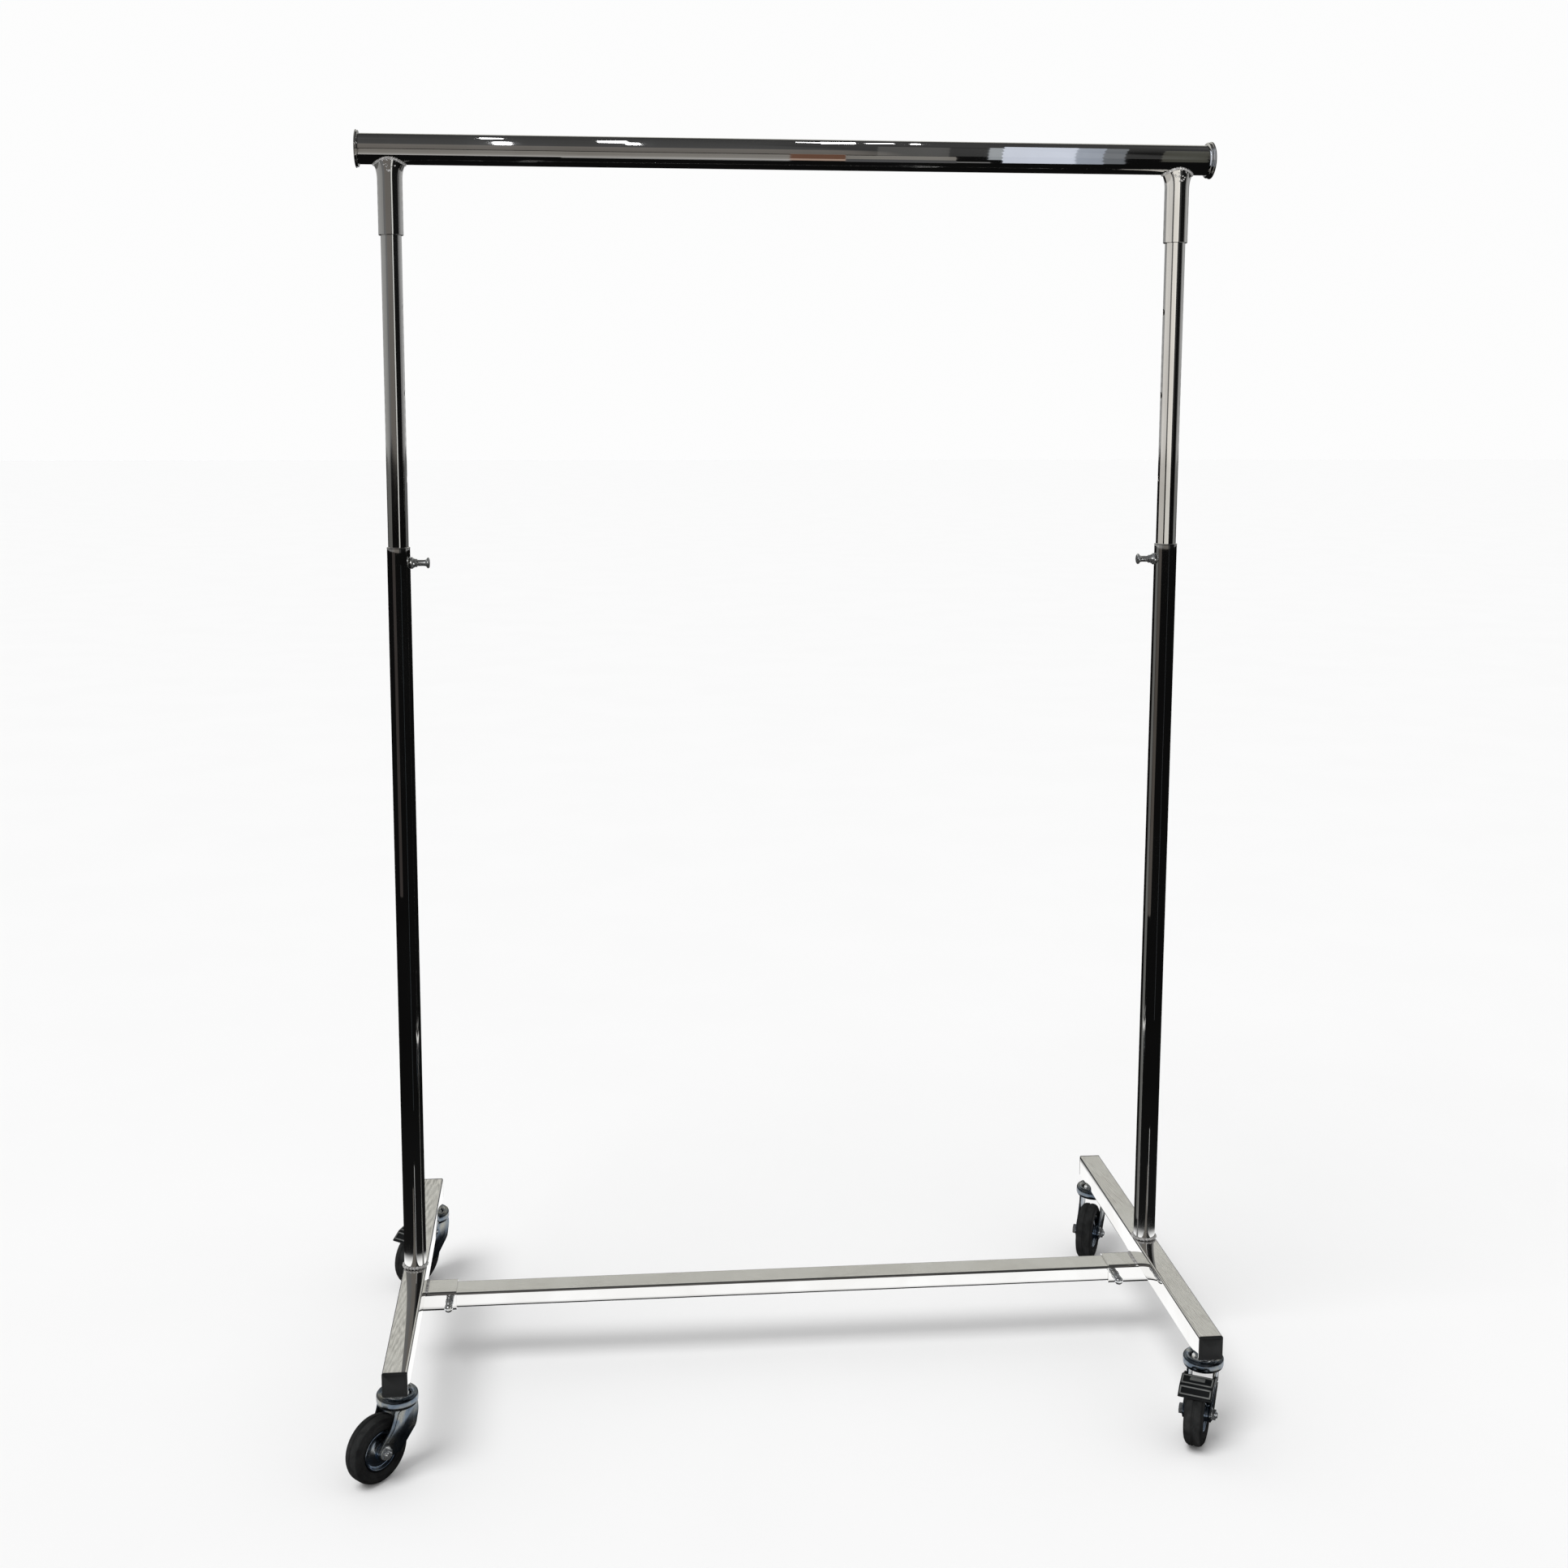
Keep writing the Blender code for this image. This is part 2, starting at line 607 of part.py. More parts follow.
def make_pedal(name, fork, base):
    """A black brake pedal: ears outside the fork arms, a bent foot plate and a brake block."""
    pivot_u, pivot_z = PEDAL_PIVOT
    hinge = pivot(name + "_hinge", (0, -pivot_u, pivot_z), parent=base)

    def from_hinge(points):
        return [(u - pivot_u, z - pivot_z) for u, z in points]

    top = [PEDAL_HEEL, PEDAL_RIDGE, PEDAL_TOE]
    underside = [(u, z - PEDAL_THICK) for u, z in reversed(top)]
    ear_inner = ARM_INNER + ARM_THICK + EDGE
    ear_thick = 0.0020
    pedal = plate(name, from_hinge(top + underside), 2 * (ear_inner + ear_thick), BLACK_PLASTIC)
    place(pedal, parent=hinge)
    ear = arc(PEDAL_PIVOT, 0.0048, 100, 300, 6)
    ear += [(0.0330, 0.0795), (0.0490, 0.0765), (0.0605, 0.0705)]
    ear += [(u - EDGE, z - 2 * EDGE) for u, z in reversed(top)]
    ear += [(0.0260, 0.0825)]
    for side in (-1, 1):
        wall = plate(f"{name}_ear_{side + 1}", from_hinge(ear), ear_thick)
        place(wall, (side * (ear_inner + ear_thick / 2), 0, 0), parent=hinge)
        cut(pedal, wall, "UNION")
        rivet = rod(f"{name}_rivet_{side + 1}", PEDAL_RIVET_R, 0.0045)
        place(rivet, (side * (ear_inner - EDGE), 0, 0), (0, math.radians(90), 0), hinge)
        cut(pedal, rivet, "UNION")
    block_u, block_z = BRAKE_BLOCK_AT
    block = box(name + "_block", BRAKE_BLOCK)
    place(block, (0, pivot_u - block_u, block_z - pivot_z), parent=hinge)
    cut(pedal, block, "UNION")
    drill = hole(name + "_drill", PEDAL_RIVET_R + GAP, 0.06)
    place(drill, (0, -pivot_u, pivot_z), (0, math.radians(90), 0), base)
    cut(fork, drill)


def make_caster(tag, side, end, angle, braked):
    prefix = "caster_" + tag
    floor_point = (side * UPRIGHT_X, end * STEM_Y, 0)
    base = pivot(prefix + "_swivel_axis", floor_point, (0, 0, math.radians(-angle)))
    make_stem(prefix + "_stem", base)
    fork = make_fork(prefix + "_fork", base)
    make_wheel(prefix, base)
    make_axle(prefix, base)
    if braked:
        make_pedal(prefix + "_brake_pedal", fork, base)


# ---- the whole rack ----
clear_scene()
PARTS = new_collection("garment_rail")
CUTTERS = new_collection("cutters")
RACK = bpy.data.objects.new("rack", None)
RACK.location = (0, CROSSBAR_Y, 0)
PARTS.objects.link(RACK)
make_rail()
make_crossbar()
for side, tag in ((-1, "left"), (1, "right")):
    make_upper_tube(tag, side)
    make_lower_upright(tag, side)
    make_leg(tag, side)
    make_sleeve(tag, side)
    inner_face = (side * (UPRIGHT_X - LOWER_R), 0, PIN_Z)
    inwards = (0, math.radians(-90 * side), 0)
    make_pull_pin("height_pin_" + tag, inner_face, inwards, HEIGHT_PIN)
    front_face = (side * (UPRIGHT_X - SLEEVE_PIN_REACH), -SLEEVE_WIDTH / 2, SLEEVE_Z)
    forwards = (math.radians(90), 0, 0)
    make_pull_pin("crossbar_pin_" + tag, front_face, forwards, CROSSBAR_PIN)
for tag, (side, end, angle, braked) in CASTERS.items():
    make_caster(tag, side, end, angle, braked)
for obj in PARTS.objects:
    if obj.type == "MESH":
        sharpen(obj)
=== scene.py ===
"""Looks for the garment rail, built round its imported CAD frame. Metres, +Z up.

Every mesh is made in the row frame, so its object stays at the origin and rides on a CAD body.
"""

import json
import math
import random

import bmesh
import bpy
from mathutils import Matrix, Vector

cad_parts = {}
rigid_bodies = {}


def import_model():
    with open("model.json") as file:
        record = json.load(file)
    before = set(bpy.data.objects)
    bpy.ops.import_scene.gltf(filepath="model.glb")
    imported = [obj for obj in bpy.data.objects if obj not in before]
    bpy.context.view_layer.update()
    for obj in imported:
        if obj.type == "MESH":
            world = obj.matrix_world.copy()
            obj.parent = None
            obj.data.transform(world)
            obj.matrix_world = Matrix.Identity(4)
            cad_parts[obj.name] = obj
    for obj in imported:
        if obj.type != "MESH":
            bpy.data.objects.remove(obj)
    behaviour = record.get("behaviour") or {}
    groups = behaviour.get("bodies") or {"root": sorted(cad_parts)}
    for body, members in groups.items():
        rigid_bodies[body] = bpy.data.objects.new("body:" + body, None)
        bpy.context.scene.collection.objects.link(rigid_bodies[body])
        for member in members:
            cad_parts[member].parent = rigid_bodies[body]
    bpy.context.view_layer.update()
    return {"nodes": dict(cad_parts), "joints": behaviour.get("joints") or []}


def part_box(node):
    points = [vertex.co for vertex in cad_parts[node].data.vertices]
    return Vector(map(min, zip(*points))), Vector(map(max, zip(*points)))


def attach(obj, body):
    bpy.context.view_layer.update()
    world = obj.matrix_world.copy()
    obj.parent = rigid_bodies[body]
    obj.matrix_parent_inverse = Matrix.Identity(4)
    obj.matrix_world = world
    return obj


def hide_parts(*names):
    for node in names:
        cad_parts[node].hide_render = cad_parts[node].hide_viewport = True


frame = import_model()
JOINTS = {joint["name"]: joint for joint in frame["joints"]}
SIDES = {"left": -1, "right": 1}
CASTERS = ("front_left", "front_right", "back_left", "back_right")
BRAKED = ("front_right", "back_left")

# ---- sizes that the CAD boxes don't give (metres) ----
ROUND = 96                    # sides of a turned piece
TUBE_WALL = 0.0013
UPRIGHT_OVER_TUBE = 0.0016    # a lower upright's radius over an upper tube's: its wall and a gap
RAIL_WALL = 0.0015
LEG_WALL = 0.0015
SLEEVE_WALL = 0.0022
HOLE_R = 0.0036
HOLE_PITCH = 0.105
HOLE_ROWS = (-0.009, -0.006, 0.006, 0.009)    # rings above and below a hole, for even shading round it
PIN_BELOW_RIM = 0.020
TRAIL = 0.033
WHEEL_R = 0.040
HUB_R = 0.024
ARM_INNER = 0.0146
ARM_THICK = 0.0025
CROWN_R = 0.025
CROWN_BOTTOM = 0.084
CROWN_TOP = 0.098
LEG_BOTTOM = 0.104
TYRE_HALF = 0.012             # half a tyre's width. Its box doesn't give it, as the caster is turned
FLARE_ALONG = 0.0040          # how far a socket widens at the rail
FLARE_ACROSS = -0.0006
UP = Vector((0, 0, 1))


def size_of(node):
    """The size of a CAD node's box."""
    low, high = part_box(node)
    return high - low


def centre_of(node):
    """The middle of a CAD node's box."""
    low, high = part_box(node)
    return (low + high) / 2


def axes_at(origin, z_axis, x_axis=None):
    """A matrix whose local Z points along z_axis and whose local X is as near x_axis as can be."""
    z = Vector(z_axis).normalized()
    if x_axis is None:
        x_axis = (0, 0, 1) if abs(z.z) < 0.9 else (1, 0, 0)
    hint = Vector(x_axis)
    x = (hint - hint.dot(z) * z).normalized()
    y = z.cross(x)
    matrix = Matrix((x, y, z)).transposed().to_4x4()
    matrix.translation = Vector(origin)
    return matrix


# ---- node-based materials ----
class Graph:
    """Short calls for building the nodes of a material or of the world."""

    def __init__(self, owner, coordinates="Object"):
        owner.use_nodes = True
        self.owner = owner
        self.tree = owner.node_tree
        self.shader = self.tree.nodes.get("Principled BSDF")
        self.place = self.node("ShaderNodeTexCoord").outputs[coordinates]

    def node(self, kind, **settings):
        made = self.tree.nodes.new(kind)
        for key, value in settings.items():
            setattr(made, key, value)
        return made

    def link(self, source, target):
        self.tree.links.new(source, target)

    def mapped(self, scale):
        mapping = self.node("ShaderNodeMapping")
        mapping.inputs["Scale"].default_value = scale
        self.link(self.place, mapping.inputs["Vector"])
        return mapping.outputs["Vector"]

    def noise(self, scale, detail=4.0, stretch=(1, 1, 1), distortion=0.0):
        made = self.node("ShaderNodeTexNoise")
        made.inputs["Scale"].default_value = scale
        made.inputs["Detail"].default_value = detail
        made.inputs["Distortion"].default_value = distortion
        self.link(self.mapped(stretch), made.inputs["Vector"])
        return made.outputs["Fac"]

    def ramp(self, factor, stops):
        made = self.node("ShaderNodeValToRGB")
        elements = made.color_ramp.elements
        while len(elements) < len(stops):
            elements.new(0.5)
        for element, (place, colour) in zip(elements, stops):
            element.position = place
            value = colour if isinstance(colour, tuple) else (colour,) * 3
            element.color = (*value, 1.0)
        self.link(factor, made.inputs["Fac"])
        return made.outputs["Color"]

    def spread(self, factor, low, high, start=0.3, end=0.7):
        made = self.node("ShaderNodeMapRange")
        for key, value in (("From Min", start), ("From Max", end), ("To Min", low), ("To Max", high)):
            made.inputs[key].default_value = value
        self.link(factor, made.inputs["Value"])
        return made.outputs["Result"]

    def math(self, operation, *values):
        made = self.node("ShaderNodeMath", operation=operation)
        for socket, value in zip(made.inputs, values):
            if isinstance(value, (int, float)):
                socket.default_value = value
            else:
                self.link(value, socket)
        return made.outputs["Value"]

    def colour_math(self, operation, a, b):
        made = self.node("ShaderNodeVectorMath", operation=operation)
        self.link(a, made.inputs[0])
        self.link(b, made.inputs[1])
        return made.outputs["Vector"]

    def blend(self, factor, colour, other):
        """Mixes a colour output with a fixed colour."""
        made = self.node("ShaderNodeMix", data_type="RGBA")
        self.link(factor, made.inputs[0])
        self.link(colour, made.inputs[6])
        made.inputs[7].default_value = (*other, 1.0)
        return made.outputs[2]

    def bump(self, height, strength, distance):
        made = self.node("ShaderNodeBump")
        made.inputs["Strength"].default_value = strength
        made.inputs["Distance"].default_value = distance
        self.link(height, made.inputs["Height"])
        self.link(made.outputs["Normal"], self.shader.inputs["Normal"])

    def choose(self, factor, shader, other, output):
        """Sends one shader, or the other where the factor is 1, to the output."""
        mix = self.node("ShaderNodeMixShader")
        self.link(factor, mix.inputs["Fac"])
        self.link(shader, mix.inputs[1])
        self.link(other, mix.inputs[2])
        self.link(mix.outputs["Shader"], output.inputs["Surface"])

    def finish(self, colour, roughness, metallic=0.0):
        self.link(colour, self.shader.inputs["Base Color"])
        self.link(roughness, self.shader.inputs["Roughness"])
        self.shader.inputs["Metallic"].default_value = metallic
        return self.owner


def chrome(name, drawn, ripple=0.00003, gloss=(0.02, 0.07)):
    """Bright chrome: faint drawing lines, slow ripples from polishing, smears and a few specks."""
    g = Graph(bpy.data.materials.new(name))
    smear = g.noise(9.0, 6.0, distortion=0.6)
    lines = g.noise(420.0, 3.0, stretch=drawn)
    specks = g.noise(700.0, 1.0)
    colour = g.ramp(smear, [(0.30, (0.84, 0.83, 0.81)), (0.62, (0.93, 0.93, 0.92))])
    rough = g.math("ADD", g.spread(smear, *gloss), g.spread(specks, 0.0, 0.10, 0.78, 0.86))
    rough = g.math("ADD", rough, g.spread(lines, 0.0, 0.02))
    ripples = g.noise(38.0, 2.0, stretch=tuple(0.4 + 0.6 * s for s in drawn))
    height = g.math("ADD", ripples, g.math("MULTIPLY", lines, 0.02))
    g.bump(height, 1.0, ripple)
    return g.finish(colour, rough, 1.0)


def plated_weld(name):
    """A weld bead under chrome: lumpy and duller than the tube, with painted highlights on its crests and
    painted shade in its hollows.
    """
    g = Graph(bpy.data.materials.new(name))
    lumps = g.noise(260.0, 4.0, distortion=0.5)
    # painted shade in the hollows and painted highlight on the crests: the colour follows the bump's height
    low, middle, painted_crest_highlight = (0.42, 0.41, 0.40), (0.86, 0.85, 0.84), (0.95, 0.95, 0.94)
    colour = g.ramp(lumps, [(0.32, low), (0.55, middle), (0.75, painted_crest_highlight)])
    g.bump(lumps, 1.0, 0.0007)
    return g.finish(colour, g.spread(lumps, 0.30, 0.12), 0.62)


def zinc(name, tint, metallic=1.0):
    """Blue-white zinc plate: mottled sheen, and darker where it has dulled."""
    g = Graph(bpy.data.materials.new(name))
    mottle = g.noise(55.0, 5.0, distortion=0.4)
    grain = g.noise(1400.0, 2.0)
    warm = tuple(0.5 * c + s for c, s in zip(tint, (0.30, 0.28, 0.22)))
    dark = tuple(0.55 * c for c in tint)
    colour = g.ramp(mottle, [(0.28, dark), (0.45, tint), (0.70, warm)])
    rough = g.math("ADD", g.spread(mottle, 0.12, 0.24), g.spread(grain, 0.0, 0.06))
    g.bump(g.math("ADD", mottle, g.math("MULTIPLY", grain, 0.15)), 0.6, 0.00006)
    return g.finish(colour, rough, metallic)


def rubber(name, dark, light, dust):
    """Moulded rubber: fine pores, and grey dust that clings in patches."""
    g = Graph(bpy.data.materials.new(name))
    pores = g.noise(1100.0, 3.0)
    patches = g.noise(60.0, 6.0, distortion=0.8)
    colour = g.ramp(patches, [(0.35, dark), (0.60, light), (0.85, dust)])
    rough = g.spread(pores, 0.62, 0.86)
    g.bump(g.math("ADD", pores, g.math("MULTIPLY", patches, 0.5)), 0.7, 0.00012)
    return g.finish(colour, rough)


def plastic(name, edge):
    """Black moulded plastic: fine spark-eroded grain, rubbed patches, and convex edges paler in patches."""
    g = Graph(bpy.data.materials.new(name))
    grain = g.noise(1700.0, 2.0)
    rubbed = g.noise(45.0, 5.0, distortion=0.5)
    base = g.ramp(rubbed, [(0.35, (0.003, 0.004, 0.0045)), (0.75, (0.010, 0.011, 0.012))])
    convex = g.node("ShaderNodeNewGeometry").outputs["Pointiness"]
    # paler on convex edges, in patches
    pale_edges = g.math("MULTIPLY", g.spread(convex, 0.0, 1.0, 0.505, 0.560), g.spread(rubbed, 0.35, 1.0))
    colour = g.blend(pale_edges, base, (edge, 1.03 * edge, edge))
    rough = g.math("ADD", g.spread(rubbed, 0.34, 0.52), g.spread(grain, 0.0, 0.10))
    g.bump(grain, 0.5, 0.00005)
    g.shader.inputs["Specular IOR Level"].default_value = 0.35
    return g.finish(colour, rough)


def steel(name):
    """Drawn spring wire."""
    g = Graph(bpy.data.materials.new(name))
    lines = g.noise(500.0, 4.0, stretch=(1, 1, 5))
    colour = g.ramp(lines, [(0.3, (0.32, 0.33, 0.34)), (0.7, (0.52, 0.53, 0.54))])
    g.bump(lines, 0.4, 0.00003)
    return g.finish(colour, g.spread(lines, 0.22, 0.40), 1.0)


LOOKS = {
    "rail": chrome("chrome_rail", drawn=(0.03, 1, 1)),
    "tube": chrome("chrome_tube", drawn=(1, 1, 0.03)),
    "leg": chrome("chrome_leg", drawn=(1, 0.03, 1), ripple=0.00004, gloss=(0.01, 0.03)),
    "bar": chrome("chrome_bar", drawn=(0.03, 1, 1), ripple=0.00004, gloss=(0.01, 0.03)),
    "weld": plated_weld("chrome_weld"),
    "zinc": zinc("zinc_pins", (0.86, 0.89, 0.92), 0.94),
    "fork": zinc("zinc_fork", (0.16, 0.20, 0.25)),
    "hub": zinc("zinc_hub", (0.24, 0.32, 0.44)),
    "tread": rubber("rubber_tread", (0.009, 0.010, 0.010), (0.020, 0.021, 0.021), (0.05, 0.05, 0.048)),
    "wall": rubber("rubber_sidewall", (0.004, 0.004, 0.005), (0.010, 0.011, 0.011), (0.022, 0.022, 0.022)),
    "plastic": plastic("black_plastic", 0.16),
    "plug": plastic("black_plug", 0.012),
    "spring": steel("spring_wire"),
}


# ---- mesh building ----
def rounded(points, radius, steps):
    """An open outline with its inner corners rounded."""
    out = [Vector(points[0])]
    for before, here, after in zip(points, points[1:], points[2:]):
        a, b, c = Vector(before), Vector(here), Vector(after)
        start = b + (a - b).normalized() * min(radius, (a - b).length * 0.45)
        end = b + (c - b).normalized() * min(radius, (c - b).length * 0.45)
        for i in range(steps + 1):
            t = i / steps
            out.append(start * (1 - t) ** 2 + b * 2 * t * (1 - t) + end * t * t)
    out.append(Vector(points[-1]))
    return [tuple(p) for p in out]


def rounded_loop(points, radius, steps):
    """A closed outline with every corner rounded."""
    return rounded([points[-1], *points, points[0]], radius, steps)[1:-1]


def rounded_ring(points, radius, steps):
    """A closed outline with every corner rounded but the first."""
    return rounded([*points, points[0]], radius, steps)[:-1]


def turns(count):
    """Angles evenly round a circle."""
    return [2 * math.pi * i / count for i in range(count)]


def skin(bm, rings, closed=False, tag=0):
    """Faces between rings of points. A ring of one point is a pole."""
    made = [[bm.verts.new(p) for p in ring] for ring in rings]
    pairs = list(zip(made, made[1:]))
    if closed:
        pairs.append((made[-1], made[0]))
    for a, b in pairs:
        count = max(len(a), len(b))
        for i in range(count):
            j = (i + 1) % count
            if len(a) == 1:
                corners = (a[0], b[i], b[j])
            elif len(b) == 1:
                corners = (a[i], b[0], a[j])
            else:
                corners = (a[i], b[i], b[j], a[j])
            bm.faces.new(corners).material_index = tag


def lathe(bm, profile, matrix, closed=False, sides=ROUND, tag=0):
    """Turns a profile of (radius, height) about the matrix's Z."""
    turn = [(math.cos(a), math.sin(a)) for a in turns(sides)]
    rings = []
    for r, z in profile:
        if r < 1e-6:
            rings.append([matrix @ Vector((0, 0, z))])
        else:
            rings.append([matrix @ Vector((r * c, r * s, z)) for c, s in turn])
    skin(bm, rings, closed, tag)


def tube_profile(outer, inner, bottom, top, extra=()):
    """A tube's wall with rounded lips. extra lists heights that get a ring of their own."""
    side = [(outer, z) for z in sorted(extra, reverse=True)]
    seam = (inner, (bottom + top) / 2)
    points = [seam, (inner, top), (outer, top), *side, (outer, bottom), (inner, bottom)]
    return rounded_ring(points, 0.0004, 3)


def prism(bm, outline, low, high, matrix, bevel, segments=2):
    """Extrudes an outline of (x, y) from low to high along the matrix's Z, with rounded edges."""
    part = bmesh.new()
    bottom = [part.verts.new((x, y, low)) for x, y in outline]
    top = [part.verts.new((x, y, high)) for x, y in outline]
    part.faces.new(bottom)
    part.faces.new(top)
    for i in range(len(outline)):
        j = (i + 1) % len(outline)
        part.faces.new((bottom[i], bottom[j], top[j], top[i]))
    bmesh.ops.recalc_face_normals(part, faces=part.faces)
    if bevel:
        rims = [e for e in part.edges if abs(e.verts[0].co.z - e.verts[1].co.z) < 1e-9]
        bmesh.ops.bevel(part, geom=rims, offset=bevel, segments=segments, affect="EDGES", profile=0.5)
    merge(bm, part, matrix)


def mesh_of(name, bm):
    """Ends a bmesh and keeps it as a mesh."""
    mesh = bpy.data.meshes.new(name)
    bm.to_mesh(mesh)
    bm.free()
    return mesh


def placed(name, data):
    """A new object in the scene."""
    obj = bpy.data.objects.new(name, data)
    bpy.context.scene.collection.objects.link(obj)
    return obj


def merge(bm, part, matrix):
    """Adds a finished part to a bigger mesh."""
    bmesh.ops.transform(part, matrix=matrix, verts=part.verts)
    mesh = mesh_of("part", part)
    bm.from_mesh(mesh)
    bpy.data.meshes.remove(mesh)


def bead(bm, path, radius, lobes, depth, seed, closed=True):
    """A weld bead along a path of points. Its radius swells and sinks in lobes."""
    sides = 10
    rng = random.Random(seed)
    count = len(path)
    shift = [rng.uniform(-0.12, 0.12) for _ in range(lobes)]
    rings = []
    for i, point in enumerate(path):
        before = path[(i - 1) % count] if closed or i else path[i]
        after = path[(i + 1) % count] if closed or i < count - 1 else path[i]
        along = (after - before).normalized()
        across = along.cross(UP).normalized()
        over = across.cross(along)
        phase = i / count * lobes
        bulge = abs(math.sin(math.pi * phase)) - 0.5 + shift[int(phase) % lobes]
        swell = radius * (1 + depth * bulge)
        rings.append([point + swell * (across * math.cos(a) + over * math.sin(a)) for a in turns(sides)])
    if not closed:
        rings = [[path[0]], *rings, [path[-1]]]
    skin(bm, rings, closed)


def box_loop(width, height, radius):
    """A rectangle with rounded corners."""
    w, h = width / 2, height / 2
    return rounded_loop([(-w, -h), (w, -h), (w, h), (-w, h)], radius, 6)


def hexagon(radius):
    """Corners of a hexagon, the first on X."""
    return [(radius * math.cos(a), radius * math.sin(a)) for a in turns(6)]


def square_tube(bm, width, height, wall, start, end, matrix, radius=0.0028):
    """A rectangular tube along the matrix's Z, with rounded corners and softened open ends."""
    outer = box_loop(width, height, radius)
    inner = box_loop(width - 2 * wall, height - 2 * wall, max(radius - wall, 0.0006))
    lip = 0.0003
    soft = box_loop(width - 2 * lip, height - 2 * lip, radius - lip)
    rings = [(soft, start), (outer, start + lip), (outer, end - lip), (soft, end)]
    rings += [(inner, end), (inner, start)]
    skin(bm, [[matrix @ Vector((x, y, z)) for x, y in loop] for loop, z in rings], closed=True)


def piece(name, bm, body, nodes, looks, angle=30):
    """Makes a mesh into a piece of the object that rides on a body and stands for CAD nodes."""
    bmesh.ops.recalc_face_normals(bm, faces=bm.faces)
    mesh = mesh_of(name, bm)
    mesh.shade_smooth()
    mesh.set_sharp_from_angle(angle=math.radians(angle))
    obj = placed(name, mesh)
    for look in looks:
        mesh.materials.append(LOOKS[look])
    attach(obj, body)
    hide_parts(*nodes)


# ---- hang rail ----
RAIL = centre_of("hang_rail")
RAIL_R = size_of("hang_rail").z / 2
RAIL_HALF = size_of("hang_rail").x / 2


def make_rail():
    """The hang rail, with its caps and its sockets."""
    bm = bmesh.new()
    along_x = axes_at(RAIL, (1, 0, 0))
    lathe(bm, tube_profile(RAIL_R, RAIL_R - RAIL_WALL, -RAIL_HALF, RAIL_HALF), along_x, closed=True)
    piece("rail_tube", bm, "hanging_frame", ["hang_rail"], ["rail"])
    for tag, side in SIDES.items():
        make_rail_cap(tag, side)
        make_socket(tag, side)


def make_rail_cap(tag, side):
    """A flared plug with two raised rims, a rolled edge and a shallow dish in its outer face."""
    cap_r = size_of("rail_end_cap_" + tag).z / 2
    thick = 0.0045 if side < 0 else 0.008      # the left one is knocked further in
    plug_r = RAIL_R - RAIL_WALL - 0.0003
    rims = [
        (0.0, thick), (cap_r - 0.0045, thick), (cap_r - 0.0022, thick), (cap_r, 0.85 * thick),
        (cap_r, 0.68 * thick), (cap_r - 0.0018, 0.55 * thick), (cap_r - 0.0020, 0.43 * thick),
        (cap_r - 0.0008, 0.30 * thick), (cap_r - 0.0012, 0.15 * thick), (RAIL_R + 0.0004, 0.0003),
        (plug_r, 0.0003), (plug_r, -0.016), (plug_r - 0.0015, -0.018), (0.0, -0.018),
    ]
    bm = bmesh.new()
    end = RAIL + Vector((side * RAIL_HALF, 0, 0))
    lathe(bm, rounded(rims, 0.0006, 3), axes_at(end, (side, 0, 0)))
    piece("rail_cap_" + tag, bm, "hanging_frame", ["rail_end_cap_" + tag], ["rail"])


def saddle(along, across, angle, lift=0.0):
    """A point of the oval where a pipe meets the rail's underside, from the oval's two radii."""
    x, y = along * math.cos(angle), across * math.sin(angle)
    return Vector((x, y, -math.sqrt((RAIL_R + lift) ** 2 - y * y)))


def make_socket(tag, side):
    """The pipe under the rail: its top flares out and follows the rail's round, with a weld bead."""
    node = "rail_socket_" + tag
    radius = size_of(node).x / 2
    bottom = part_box(node)[0].z - RAIL.z
    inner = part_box("upper_tube_" + tag)[1].x - centre_of("upper_tube_" + tag).x + 0.0003
    origin = Vector((centre_of(node).x, RAIL.y, RAIL.z))
    angles = turns(ROUND)
    rings = []
    for r in (inner, radius - 0.0005, radius):
        z = bottom + (0.0005 if r == radius else 0.0)
        rings.append([origin + Vector((r * math.cos(a), r * math.sin(a), z)) for a in angles])
    steps = 22
    low = bottom + 0.74 * (-RAIL_R - bottom)     # where the flare starts
    for k in range(steps + 1):
        share = k / steps
        along = radius + FLARE_ALONG * share ** 3
        across = radius + FLARE_ACROSS * share ** 3
        tops = [saddle(along, across, a, 0.0002) for a in angles]
        rings.append([origin + Vector((top.x, top.y, low + (top.z - low) * share)) for top in tops])
    rings.append([origin + saddle(inner, inner, a, 0.0002) for a in angles])
    bm = bmesh.new()
    skin(bm, rings, closed=True)
    piece("socket_" + tag, bm, "hanging_frame", [node], ["tube"], angle=40)
    weld = bmesh.new()
    edge = (radius + FLARE_ALONG - 0.0004, radius + FLARE_ACROSS - 0.0002)
    path = [origin + saddle(*edge, a, 0.0003) for a in turns(240)]
    bead(weld, path, 0.0015, 34, 0.34, seed=11 + side)
    # spatter in front, in a V that narrows down the pipe
    rng = random.Random(21 + side)
    for _ in range(26):
        drop = rng.uniform(0.001, 0.018)
        turn = -math.pi / 2 + rng.uniform(-1, 1) * 0.9 * (1 - drop / 0.021)
        spatter = origin + saddle(radius + 0.0001, radius + 0.0001, turn)
        spatter.z -= drop
        ball = bmesh.new()
        bmesh.ops.create_icosphere(ball, subdivisions=2, radius=rng.uniform(0.0005, 0.0011))
        merge(weld, ball, Matrix.Translation(spatter) @ Matrix.Diagonal((1.2, 0.8, 1.0, 1.0)))
    piece("socket_weld_" + tag, weld, "hanging_frame", [node], ["weld"], angle=60)


# ---- uprights ----
def loose(name, bm):
    """A passing object that a boolean works on."""
    bmesh.ops.recalc_face_normals(bm, faces=bm.faces)
    return placed(name, mesh_of(name, bm))


